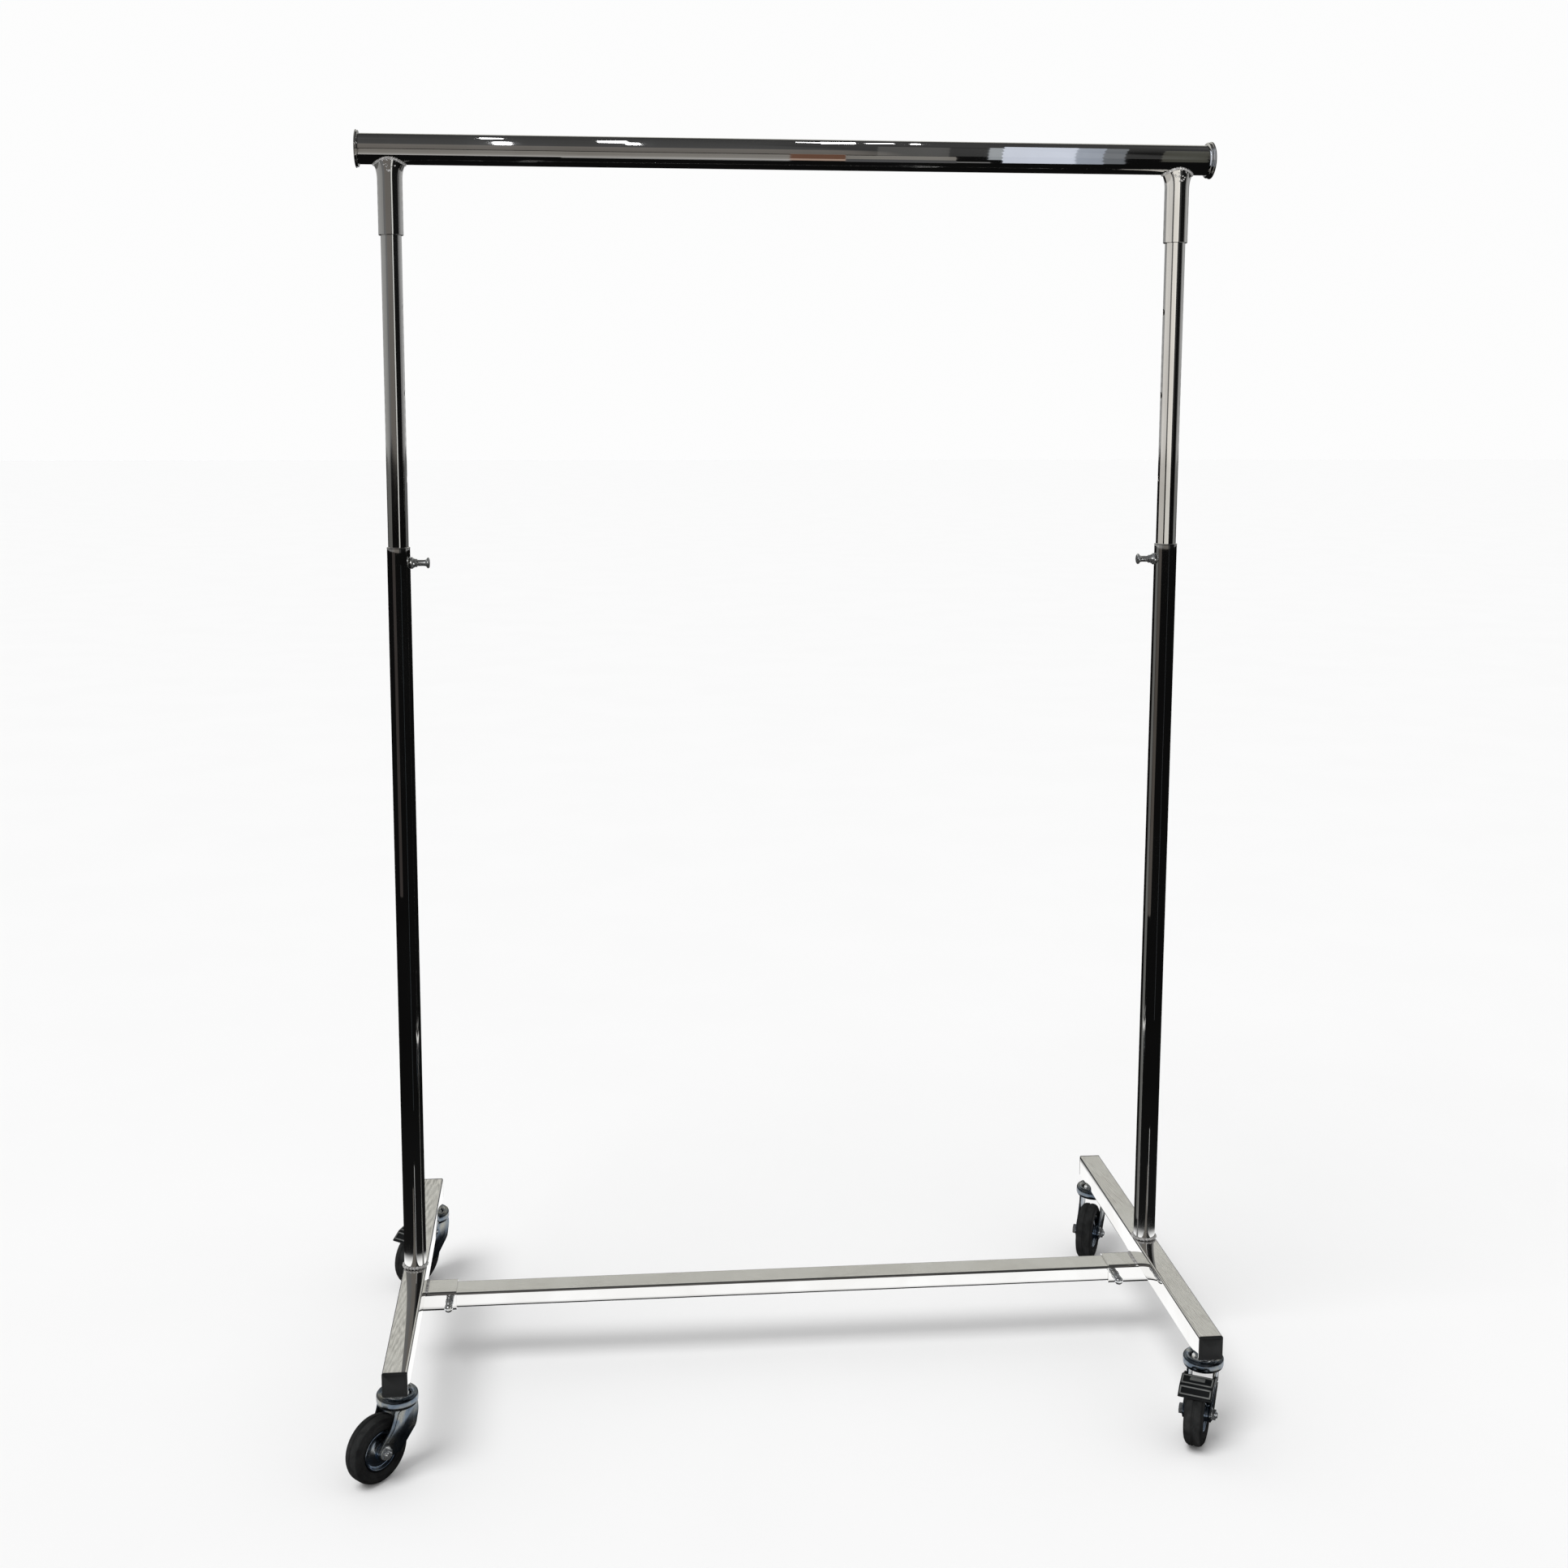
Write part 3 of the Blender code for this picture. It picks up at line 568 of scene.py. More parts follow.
def carved(bm, cutter, operation="DIFFERENCE"):
    """Cuts one mesh out of another, or keeps what both share with INTERSECT."""
    whole, tool = loose("whole", bm), loose("tool", cutter)
    cut = whole.modifiers.new("cut", "BOOLEAN")
    cut.operation = operation
    cut.object = tool
    cut.solver = "EXACT"
    evaluated = whole.evaluated_get(bpy.context.evaluated_depsgraph_get())
    mesh = bpy.data.meshes.new_from_object(evaluated)
    result = bmesh.new()
    result.from_mesh(mesh)
    bpy.data.meshes.remove(mesh)
    bpy.data.objects.remove(whole, do_unlink=True)
    bpy.data.objects.remove(tool, do_unlink=True)
    return result


def pin_seat(kind, tag):
    """Axes at the foot of a spring pin's housing with Z along its pull, that direction, and the length."""
    out = Vector(JOINTS[f"{kind}_pin_{tag}_pull"]["axis"])
    low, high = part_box(f"{kind}_pin_{tag}_housing")
    length = abs((high - low).dot(out))
    return axes_at((low + high) / 2 - out * length / 2, out), out, length


def nose_hole(kind, tag):
    """A cutter for the hole that a spring pin's nose goes through."""
    radius, top, bottom = 0.0025, 0.0020, -0.0065
    cutter = bmesh.new()
    profile = [(0.0, top), (radius, top), (radius, bottom), (0.0, bottom)]
    lathe(cutter, profile, pin_seat(kind, tag)[0], sides=48)
    return cutter


def make_upper_tube(tag, side):
    """The sliding tube. Its row of holes has a dimple round each one, as a punch leaves."""
    node = "upper_tube_" + tag
    low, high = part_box(node)
    x, y = (low.x + high.x) / 2, (low.y + high.y) / 2
    radius = (high.x - low.x) / 2
    pin_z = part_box("lower_upright_" + tag)[1].z - PIN_BELOW_RIM
    heights = [pin_z + k * HOLE_PITCH for k in range(-2, 4)]
    extra = [z + d for z in heights for d in HOLE_ROWS]
    bm = bmesh.new()
    place = Matrix.Translation((x, y, 0))
    lathe(bm, tube_profile(radius, radius - TUBE_WALL, low.z, high.z, extra=extra), place, closed=True)
    dimple = HOLE_R + 0.0016
    punch = [(0.0, -0.004), (HOLE_R, -0.004), (HOLE_R, -0.0009)]
    punch += [(dimple, 0.0006), (dimple, 0.004), (0.0, 0.004)]
    drills = bmesh.new()
    for z in heights:
        lathe(drills, punch, axes_at((x - side * radius, y, z), (-side, 0, 0)), sides=40)
    bm = carved(bm, drills)
    piece("slide_tube_" + tag, bm, "hanging_frame", [node], ["tube"])


def make_lower_upright(tag, side):
    """The fixed tube, with a rolled rim and a weld bead where it stands on the leg."""
    node = "lower_upright_" + tag
    low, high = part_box(node)
    x, y = (low.x + high.x) / 2, (low.y + high.y) / 2
    radius = size_of("upper_tube_" + tag).x / 2 + UPRIGHT_OVER_TUBE
    inner = radius - TUBE_WALL
    lip = [(inner, high.z - 0.0006)] + [
        (inner + 0.0007 + 0.0009 * math.cos(a), high.z - 0.0009 + 0.0009 * math.sin(a))
        for a in (math.radians(d) for d in range(120, -61, -20))
    ]
    rows = [high.z - PIN_BELOW_RIM + d for d in HOLE_ROWS]
    seam = (inner, 0.6)
    profile = [seam, *[(inner, z) for z in rows], *lip]
    profile += [(radius - 0.0001, high.z - 0.0022), (radius, high.z - 0.0034)]
    profile += [(radius, z) for z in reversed(rows)]
    profile += [(radius, low.z + 0.001), (inner, low.z + 0.001)]
    bm = bmesh.new()
    lathe(bm, profile, Matrix.Translation((x, y, 0)), closed=True)
    bm = carved(bm, nose_hole("height", tag))
    piece("upright_" + tag, bm, "base", [node], ["tube"])
    weld = bmesh.new()
    reach = radius + 0.0006
    path = [Vector((x + reach * math.cos(a), y + reach * math.sin(a), low.z + 0.0016)) for a in turns(288)]
    bead(weld, path, 0.0017, 22, 0.55, seed=31 + side)
    piece("foot_weld_" + tag, weld, "base", [node], ["weld"], angle=60)


# ---- spring pins ----
def make_pin(kind, tag):
    """A spring pin: turned housing, and a knob whose shape differs on the uprights and the sleeves."""
    prefix = f"{kind}_pin_{tag}"
    place, out, length = pin_seat(kind, tag)
    housing, knob = bmesh.new(), bmesh.new()
    bore = 0.0023
    if kind == "height":
        outside = [(0.0050, length), (0.0052, 0.0056), (0.0060, 0.0038), (0.0074, 0.0022), (0.0074, 0.0001)]
    else:
        outside = [(0.0046, length)]
        for k in range(5):
            outside += [(0.0047, 0.0078 - k * 0.0011), (0.0041, 0.00725 - k * 0.0011)]
        outside += [(0.0052, 0.0020), (0.0052, 0.0001)]
    wall = [(bore, 0.0001), (bore, length), *outside]
    lathe(housing, rounded_ring(wall, 0.0003, 2), place, closed=True, sides=64)
    reach = abs(size_of(prefix + "_pin").dot(out)) - (0.0014 if kind == "height" else 0.0040)
    if kind == "height":
        shape = [
            (0.0, reach), (0.0052, reach), (0.0068, reach - 0.0010), (0.0068, reach - 0.0026),
            (0.0045, reach - 0.0042), (0.0039, reach - 0.0060), (0.0039, length + 0.0014),
            (0.0043, length + 0.0006), (0.0021, length + 0.0004), (0.0021, -0.0010), (0.0017, -0.0014),
            (0.0, -0.0014),
        ]
    else:
        shape = [
            (0.0, reach), (0.0024, reach - 0.0003), (0.0045, reach - 0.0018), (0.0056, reach - 0.0042),
            (0.0048, reach - 0.0066), (0.0035, reach - 0.0078), (0.0035, reach - 0.0086),
            (0.0050, reach - 0.0092), (0.0050, reach - 0.0106), (0.0040, reach - 0.0112),
            (0.0040, length + 0.0006), (0.0021, length + 0.0004), (0.0021, -0.0035), (0.0017, -0.0040),
            (0.0, -0.0040),
        ]
    lathe(knob, rounded(shape, 0.0005, 3), place, sides=64)
    piece(prefix + "_barrel", housing, "base", [prefix + "_housing"], ["zinc"])
    piece(prefix + "_knob", knob, prefix, [prefix + "_pin"], ["zinc"])


# ---- base ----
def make_leg(tag):
    """A square tube from front to back, with a plug in each end."""
    node = "leg_" + tag
    low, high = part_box(node)
    middle = (low + high) / 2
    bm = bmesh.new()
    half = (high.y - low.y) / 2
    size = high - low
    square_tube(bm, size.x, size.z, LEG_WALL, -half, half, axes_at(middle, (0, 1, 0), (1, 0, 0)))
    piece("leg_tube_" + tag, bm, "base", [node], ["leg"])
    for word, end in (("front", -1), ("back", 1)):
        make_leg_cap(f"{word}_{tag}", end)


def make_leg_cap(tag, end):
    """A moulded plug: thin flange with a soft edge, a raised panel and ribs that grip the tube."""
    node = "leg_cap_" + tag
    low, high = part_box(node)
    face = Vector(((low.x + high.x) / 2, low.y if end < 0 else high.y, (low.z + high.z) / 2))
    size = high - low
    place = axes_at(face, (0, end, 0), (1, 0, 0))
    bm = bmesh.new()
    prism(bm, box_loop(size.x, size.z, 0.0022), -0.0020, -0.0003, place, 0.0005, 3)
    prism(bm, box_loop(size.x - 0.006, size.z - 0.006, 0.0020), -0.0006, 0.0, place, 0.0003, 2)
    inside = size.x - 2 * (LEG_WALL + 0.0008)
    prism(bm, box_loop(inside, inside, 0.0012), -0.0155, -0.0012, place, 0.0004, 2)
    for k in range(3):
        depth = -0.0045 - k * 0.0035
        prism(bm, box_loop(inside + 0.0008, inside + 0.0008, 0.0012), depth, depth + 0.0010, place, 0.0003, 1)
    piece("leg_plug_" + tag, bm, "base", [node], ["plug"])


def bar_tube(node, wall, radius, holes):
    """A rectangular tube along X that fills a node's box, with holes for the noses of crossbar pins."""
    low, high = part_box(node)
    size = high - low
    bm = bmesh.new()
    place = axes_at((low + high) / 2, (1, 0, 0), (0, 1, 0))
    square_tube(bm, size.y, size.z, wall, -size.x / 2, size.x / 2, place, radius)
    for tag in holes:
        bm = carved(bm, nose_hole("crossbar", tag))
    return bm


def make_sleeve(tag, side):
    """The sleeve under a leg that holds the crossbar's end, with a weld bead on each side of the leg."""
    node = "crossbar_sleeve_" + tag
    piece("sleeve_" + tag, bar_tube(node, SLEEVE_WALL, 0.0036, [tag]), "base", [node], ["bar"])
    low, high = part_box(node)
    leg_low, leg_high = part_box("leg_" + tag)
    edge = leg_high.x if side < 0 else leg_low.x
    weld = bmesh.new()
    for x in (edge - side * 0.0004, 2 * centre_of("leg_" + tag).x - edge + side * 0.0014):
        rows = [low.y + 0.003 + ((high - low).y - 0.006) * i / 90 for i in range(91)]
        path = [Vector((x, y, high.z + 0.0004)) for y in rows]
        bead(weld, path, 0.0014, 9, 0.5, seed=51 + side, closed=False)
    piece("sleeve_weld_" + tag, weld, "base", [node], ["weld"], angle=60)


# ---- casters: local X is the axle, local -Y the trailing side, z = 0 the floor ----
def caster_frame(tag):
    """The caster's own axes, from its two joints."""
    stem = Vector(JOINTS[f"caster_{tag}_swivel"]["pos_m"])
    return axes_at((stem.x, stem.y, 0), UP, JOINTS[f"caster_{tag}_spin"]["axis"])


def arc(centre, radius, start, end, steps):
    """Points of a circle between two angles in degrees."""
    turn = [math.radians(start + (end - start) * i / steps) for i in range(steps + 1)]
    return [(centre[0] + radius * math.cos(a), centre[1] + radius * math.sin(a)) for a in turn]


def side_plane(place):
    """Axes for outlines of (along the trail, height), with Z across the caster."""
    return place @ Matrix(((0, 0, 1, 0), (-1, 0, 0, 0), (0, 1, 0, 0), (0, 0, 0, 1)))


def across(place, x, along, height, side=1):
    """Axes at a point of the caster, with Z across it."""
    return axes_at(place @ Vector((x, -along, height)), place.to_3x3() @ Vector((side, 0, 0)))


def make_fork(tag, place):
    """A pressed fork: dished crown with a rolled rim, ball-race cup, and two arms with a raised rib."""
    bm = bmesh.new()
    crown = [
        (0.0160, CROWN_TOP - 0.0030), (0.0172, CROWN_TOP - 0.0012), (0.0192, CROWN_TOP - 0.0002),
        (CROWN_R - 0.0024, CROWN_TOP), (CROWN_R - 0.0004, CROWN_TOP - 0.0022), (CROWN_R, CROWN_TOP - 0.0052),
        (CROWN_R, CROWN_BOTTOM + 0.0042), (CROWN_R - 0.0012, CROWN_BOTTOM + 0.0012),
        (CROWN_R - 0.0030, CROWN_BOTTOM), (0.0066, CROWN_BOTTOM), (0.0066, CROWN_BOTTOM + 0.003),
        (0.0160, CROWN_BOTTOM + 0.003),
    ]
    lathe(bm, rounded_ring(crown, 0.0012, 4), place, closed=True)
    back_top, back_low, front_top = (-0.0175, 0.0870), (-0.0140, 0.0560), (0.0170, 0.0870)
    outline = [front_top, back_top, (-0.0182, 0.0740), back_low, (0.010, 0.0330)]
    outline += arc((TRAIL, WHEEL_R), 0.010, 235, 395, 10) + [(0.0250, 0.0640), (0.0185, 0.0780)]
    rib = [(-0.0120, 0.0830), (0.0120, 0.0830), (0.0190, 0.0640), (0.0310, 0.0510)]
    rib += [(0.0235, 0.0440), (-0.0080, 0.0600)]
    boss = rounded([(0.0, -0.0004), (0.0088, -0.0004), (0.0086, 0.0003), (0.0, 0.0003)], 0.0002, 2)
    outer = ARM_INNER + ARM_THICK
    for side in (-1, 1):
        arm = sorted((side * ARM_INNER, side * outer))
        raised = sorted((side * (outer - 0.0003), side * (outer + 0.0007)))
        prism(bm, rounded_loop(outline, 0.004, 5), *arm, side_plane(place), 0.0007, 3)
        prism(bm, rounded_loop(rib, 0.004, 5), *raised, side_plane(place), 0.0006, 3)
        lathe(bm, boss, across(place, side * outer, TRAIL, WHEEL_R, side), sides=48)
    piece(f"caster_{tag}_yoke", bm, f"caster_{tag}_swivel", [f"caster_{tag}_fork"], ["fork"])


def make_stem(tag, place):
    """The fixed middle: hexagon collar, dust cap, race and riveted foot."""
    bm = bmesh.new()
    top = LEG_BOTTOM - 0.0003
    prism(bm, rounded_loop(hexagon(0.0105), 0.0012, 3), top - 0.0045, top, place, 0.0006, 3)
    shape = [(0.0, top + 0.020), (0.0044, top + 0.020), (0.0055, top + 0.0188)]
    shape += [(0.0055 - 0.0005 * (k % 2), top + 0.018 - 0.0008 * k) for k in range(21)]
    shape += [(0.0055, top - 0.0040), (0.0090, top - 0.0046)]
    cup = [(0.0100, -0.0016), (0.0136, -0.0022), (0.0146, -0.0034), (0.0150, -0.0062)]
    shape += [(r, CROWN_TOP + z) for r, z in cup]
    foot = [(0.0150, 0.0036), (0.0062, 0.0033), (0.0062, -0.0003), (0.0085, -0.0003)]
    foot += [(0.0080, -0.0020), (0.0050, -0.0032), (0.0, -0.0034)]
    shape += [(r, CROWN_BOTTOM + z) for r, z in foot]
    lathe(bm, rounded(shape, 0.0003, 2), place, sides=64)
    piece(f"caster_{tag}_kingpin", bm, "base", [f"caster_{tag}_stem"], ["zinc"])


def mirrored(profile):
    """The other half of a wheel's profile, in reverse."""
    return [(r, -z) for r, z in reversed(profile)]


def make_wheel(tag, place):
    """Tyre with a grooved tread and stepped sidewalls, on a dished hub with a bearing seal."""
    axle = across(place, 0, TRAIL, WHEEL_R)
    body = f"caster_{tag}_wheel"
    half = TYRE_HALF
    side = [
        (HUB_R + 0.0003, half - 0.0040), (HUB_R + 0.0010, half - 0.0018), (HUB_R + 0.0036, half - 0.0010),
        (HUB_R + 0.0050, half - 0.0002), (HUB_R + 0.0064, half - 0.0002), (HUB_R + 0.0074, half - 0.0009),
        (WHEEL_R - 0.0052, half - 0.0006), (WHEEL_R - 0.0018, half - 0.0030),
    ]
    tread = [side[-1], (WHEEL_R - 0.0003, half - 0.0058), (WHEEL_R, 0.0030), (WHEEL_R, 0.0016)]
    tread += [(WHEEL_R - 0.0012, 0.0010)]
    walls = rounded(side, 0.0008, 3)
    bm = bmesh.new()
    lathe(bm, walls, axle, tag=1)
    lathe(bm, rounded([*tread, *mirrored(tread)], 0.0006, 3), axle, tag=0)
    lathe(bm, mirrored(walls), axle, tag=1)
    lathe(bm, [walls[0], *mirrored(walls[:1])], axle, tag=1)
    bmesh.ops.remove_doubles(bm, verts=bm.verts, dist=1e-6)
    piece(f"caster_{tag}_rubber", bm, body, [f"caster_{tag}_tyre"], ["tread", "wall"])

    rim, boss = half - 0.0022, 0.0142
    face = [
        (0.0044, boss), (0.0088, boss), (0.0094, boss - 0.0014), (0.0096, 0.0098), (0.0112, 0.0086),
        (0.0150, 0.0074), (HUB_R - 0.0056, 0.0072), (HUB_R - 0.0034, 0.0080), (HUB_R - 0.0024, rim),
        (HUB_R - 0.0006, rim + 0.0002), (HUB_R, rim - 0.0012),
    ]
    bm = bmesh.new()
    lathe(bm, rounded_ring([*face, *mirrored(face)], 0.0010, 4), axle, closed=True)
    piece(f"caster_{tag}_disc", bm, body, [f"caster_{tag}_hub"], ["hub"])


def hexagon_head(bm, low, high, place):
    """A bolt's head or a nut, with chamfered corners."""
    radius = 0.0072
    part, cone = bmesh.new(), bmesh.new()
    prism(part, hexagon(radius), low, high, Matrix(), 0)
    chamfer = [(0.0, low), (radius * 0.90, low), (radius, low + 0.0008)]
    chamfer += [(radius, high - 0.0008), (radius * 0.90, high), (0.0, high)]
    lathe(cone, chamfer, Matrix(), sides=48)
    merge(bm, carved(part, cone, "INTERSECT"), place)


def make_axle(tag, place):
    """Axle bolt with a chamfered head and a threaded end, and its nut on a washer."""
    axle = across(place, 0, TRAIL, WHEEL_R)
    outer = ARM_INNER + ARM_THICK + 0.0003
    head = 0.0045
    bolt = bmesh.new()
    hexagon_head(bolt, -outer - head, -outer - 0.0001, axle)
    end = outer + head + 0.0022
    shape = [(0.0, end), (0.0030, end)]
    shape += [(0.0040 - 0.0004 * (k % 2), end - 0.0006 - 0.0005 * k) for k in range(14)]
    shape += [(0.0040, outer - 0.004), (0.0040, -outer - 0.001), (0.0, -outer - 0.001)]
    lathe(bolt, shape, axle, sides=48)
    swivel = f"caster_{tag}_swivel"
    piece(f"caster_{tag}_bolt", bolt, swivel, [f"caster_{tag}_axle_bolt"], ["zinc"])
    nut = bmesh.new()
    face = outer + 0.0009
    hexagon_head(nut, face, outer + head, axle)
    washer = [(0.0043, outer), (0.0078, outer), (0.0078, face), (0.0043, face)]
    lathe(nut, rounded_ring(washer, 0.0002, 2), axle, closed=True, sides=48)
    piece(f"caster_{tag}_nut", nut, swivel, [f"caster_{tag}_axle_nut"], ["zinc"])


def make_pedal(tag, place):
    """A black foot pedal: bent top with a raised border on the toe, side walls and a brake block."""
    bm = bmesh.new()
    flat = side_plane(place)
    inner = ARM_INNER + ARM_THICK + 0.0010
    half = inner + 0.0020
    heel, ridge, toe = Vector((0.032, 0.086)), Vector((0.050, 0.081)), Vector((0.062, 0.072))
    thick = Vector((0, 0.0022))
    top = [heel, ridge, toe, toe - thick, ridge - thick, heel - thick]
    prism(bm, rounded_loop(top, 0.0008, 3), -half, half, flat, 0.0010, 3)
    for start, end, inset in ((heel, ridge, 0.0022), (ridge, toe, 0.0020)):
        along = (end - start).normalized()
        up = Vector((-along.y, along.x))
        sunk, raised, width = up * 0.0004, up * 0.0008, along * 0.0016
        a, b = start + along * inset, end - along * inset
        for low, high in ((-half + 0.0015, -half + 0.0031), (half - 0.0031, half - 0.0015)):
            prism(bm, [a - sunk, b - sunk, b + raised, a + raised], low, high, flat, 0.0004)
        for spot in (a, b - width):
            bar = [spot - sunk, spot + width - sunk, spot + width + raised, spot + raised]
            prism(bm, bar, -half + 0.0016, half - 0.0016, flat, 0.0004)
    pivot = (0.014, 0.074)
    ear = arc(pivot, 0.0048, 100, 300, 10)
    ear += [(0.0330, 0.0795), (0.0490, 0.0765), (0.0605, 0.0705), (0.0615, 0.0714), (0.0495, 0.0800)]
    ear += [(0.0320, 0.0848), (0.0260, 0.0825)]
    rivet = [(0.0, 0.0), (0.0030, 0.0), (0.0029, 0.0006), (0.0018, 0.0013), (0.0, 0.0015)]
    shank = [(0.0, 0.0), (0.0022, 0.0), (0.0022, 0.0006), (0.0, 0.0006)]
    for side in (-1, 1):
        prism(bm, rounded_loop(ear, 0.0012, 3), *sorted((side * inner, side * half)), flat, 0.0006, 3)
        for turned, foot in ((rivet, half), (shank, inner)):
            lathe(bm, turned, across(place, side * (foot - 0.0002), *pivot, side), sides=32, tag=1)
    shoe = bmesh.new()
    bmesh.ops.create_cube(shoe, size=1.0)
    bmesh.ops.scale(shoe, vec=(0.018, 0.009, 0.0042), verts=shoe.verts)
    bmesh.ops.bevel(shoe, geom=shoe.edges, offset=0.0006, segments=3, affect="EDGES", profile=0.5)
    merge(bm, shoe, place @ Matrix.Translation((0, -0.0375, 0.0828)))
    nodes, looks = [f"caster_{tag}_brake_pedal"], ["plastic", "zinc"]
    piece(f"caster_{tag}_lever", bm, f"caster_{tag}_pedal", nodes, looks)


# ---- studio: floor, world, lights and camera ----
def make_floor():
    """A pale floor. Mirrored rays see a painted reflection instead: dark close by, bright a little way off,
    dark far off.
    """
    bm = bmesh.new()
    bmesh.ops.create_grid(bm, x_segments=1, y_segments=1, size=40.0)
    floor = placed("floor", mesh_of("floor", bm))
    floor.location.z = -0.0002
    g = Graph(bpy.data.materials.new("pale_floor"))
    tone = g.noise(3.0, 3.0)
    colour = g.ramp(tone, [(0.3, (0.895, 0.895, 0.895)), (0.7, (0.905, 0.905, 0.905))])
    g.finish(colour, g.spread(tone, 0.85, 0.95))
    g.shader.inputs["Specular IOR Level"].default_value = 0.0
    # painted reflection: for mirrored rays the floor glows by ray length, dark up to 0.13 m as painted shade,
    # bright from 0.175 to 0.335 m, dark beyond
    path, painted_floor_glow = g.node("ShaderNodeLightPath"), g.node("ShaderNodeEmission")
    painted_glow_by_ray_length = [(0.0, 0.01), (0.13, 0.03), (0.175, 1.05), (0.335, 1.05), (0.365, 0.008), (1.0, 0.004)]
    g.link(g.ramp(path.outputs["Ray Length"], painted_glow_by_ray_length), painted_floor_glow.inputs["Color"])
    g.choose(path.outputs["Is Glossy Ray"], g.shader.outputs["BSDF"], painted_floor_glow.outputs["Emission"],
             g.tree.nodes["Material Output"])
    floor.data.materials.append(g.owner)


WHITE_LIGHT = 0.62            # how strongly the white world lights the object
WHITE_FOR_EYE = 0.36          # how much whiter the camera sees it
RIB_PITCH = 1300.0            # fine ribs on the wall that faces the object's back: a sine of the height
RIB_SWAY = 7.0                # how far noise shifts that sine, in radians
RIB_DEPTH = 0.42
# Heights of the two walls that meet at heading 180, behind the camera: a warm panel over a dark foot.
WARM_PANEL = [
    (-90, 0.004), (-9, 0.006), (-6, (0.13, 0.12, 0.11)), (29, (0.15, 0.14, 0.13)), (33, 0.065), (84, 0.055),
    (90, 0.05),
]
# What chrome mirrors, by compass heading (degrees from +Y towards +X) and height (degrees up).
# Each wall is (start, end, softness, ribbed, [(height, colour), ...]).
ROOM = [
    (-52, 52, 8, True, [
        (-90, 0.30), (-3, 0.36), (8, 0.26), (14, 0.20), (18, (0.50, 0.495, 0.46)), (34, (0.50, 0.495, 0.46)),
        (42, 0.03), (90, 0.05),
    ]),
    (52, 96, 6, False, [
        (-90, 0.004), (-35, 0.03), (-20, 0.12), (5, 0.20), (40, 0.16), (70, 0.04), (90, 0.05),
    ]),
    (96, 151, 3, False, [(-90, 0.004), (0, 0.006), (40, 0.012), (90, 0.05)]),
    (151, 168.6, 1.5, False, [
        (-90, 0.004), (-50, 0.006), (-44, 0.036), (8, 0.040), (66, 0.045), (84, 0.055), (90, 0.05),
    ]),
    (168.6, 180, 1, False, WARM_PANEL),
    (-180, -138, 2, False, WARM_PANEL),
    (-138, -96, 4, False, [
        (-90, 0.004), (-10, 0.006), (-4, 0.03), (-1, 0.14), (50, 0.14), (80, 0.05), (90, 0.05),
    ]),
    (-96, -52, 6, False, [
        (-90, 0.01), (-45, 0.04), (-30, 0.17), (-3, 0.20), (10, 0.17), (40, 0.14), (70, 0.05), (90, 0.05),
    ]),
]


def make_world():
    """White for the eye and the floor; a dim room with soft panels for mirrored rays."""
    g = Graph(bpy.data.worlds.new("studio"), "Generated")
    bpy.context.scene.world = g.owner
    direction = g.node("ShaderNodeSeparateXYZ")
    g.link(g.place, direction.inputs["Vector"])
    x, y, z = direction.outputs
    turn = g.math("MULTIPLY_ADD", g.math("ARCTAN2", x, y), 0.5 / math.pi, 0.5)
    height = g.math("MULTIPLY_ADD", z, 0.5, 0.5)
    sway = g.math("MULTIPLY", g.noise(1.0, 1.0, stretch=(150, 150, 60)), RIB_SWAY)
    ribs = g.math("SINE", g.math("ADD", g.math("MULTIPLY", z, RIB_PITCH), sway))
    ribs = g.math("MULTIPLY_ADD", ribs, RIB_DEPTH, 1.0)
    total = None
    for start, end, soft, ribbed, heights in ROOM:
        marks = [(start - soft, 0.0), (start + soft, 1.0), (end - soft, 1.0), (end + soft, 0.0)]
        if start == -180:
            marks = marks[1:]
        if end == 180:
            marks = marks[:-1]
        mask = g.ramp(turn, [(0.5 + p / 360, v) for p, v in marks])
        bands = g.ramp(height, [(0.5 + 0.5 * math.sin(math.radians(h)), c) for h, c in heights])
        part = g.colour_math("MULTIPLY", mask, bands)
        if ribbed:
            part = g.colour_math("MULTIPLY", part, ribs)
        total = part if total is None else g.colour_math("ADD", total, part)
    room, white = g.node("ShaderNodeBackground"), g.node("ShaderNodeBackground")
    g.link(total, room.inputs["Color"])
    white.inputs["Color"].default_value = (1.0, 1.0, 1.0, 1.0)
    path = g.node("ShaderNodeLightPath")
    seen = g.math("MULTIPLY_ADD", path.outputs["Is Camera Ray"], WHITE_FOR_EYE, WHITE_LIGHT)
    g.link(seen, white.inputs["Strength"])
    g.choose(path.outputs["Is Glossy Ray"], white.outputs["Background"], room.outputs["Background"],
             g.tree.nodes["World Output"])


def make_sun():
    """The main light: from the upper left and the front, wide enough for soft shadows."""
    data = bpy.data.lights.new("sun", "SUN")
    data.angle = math.radians(32)
    data.energy = 1.62
    light = placed("sun", data)
    light.rotation_euler = Vector((0.55, 0.45, -1.25)).to_track_quat("-Z", "Y").to_euler()
    light.visible_glossy = False


def glow(name, place, facing, size, colour, pieces):
    """A soft card of light that only some pieces mirror."""
    strength = max(colour)
    data = bpy.data.lights.new(name, "AREA")
    data.shape = "RECTANGLE"
    data.size, data.size_y = size
    data.energy = strength * math.pi * size[0] * size[1]
    data.color = tuple(c / strength for c in colour)
    light = placed(name, data)
    light.location = place
    light.rotation_euler = Vector(facing).to_track_quat("-Z", "Y").to_euler()
    light.visible_camera = False
    light.visible_diffuse = False
    light.visible_shadow = False
    group = bpy.data.collections.new(name + "_seen_in")
    for item in pieces:
        group.objects.link(bpy.data.objects[item])
    light.light_linking.receiver_collection = group


CARD_OUT = 0.20               # how far the rail's cards stand from its axis
EYE_BELOW = 8                 # how far the eye is below the level of the rail, in degrees
WIDEST_CARD = 26              # a wider card is bent into facets (degrees round the rail)
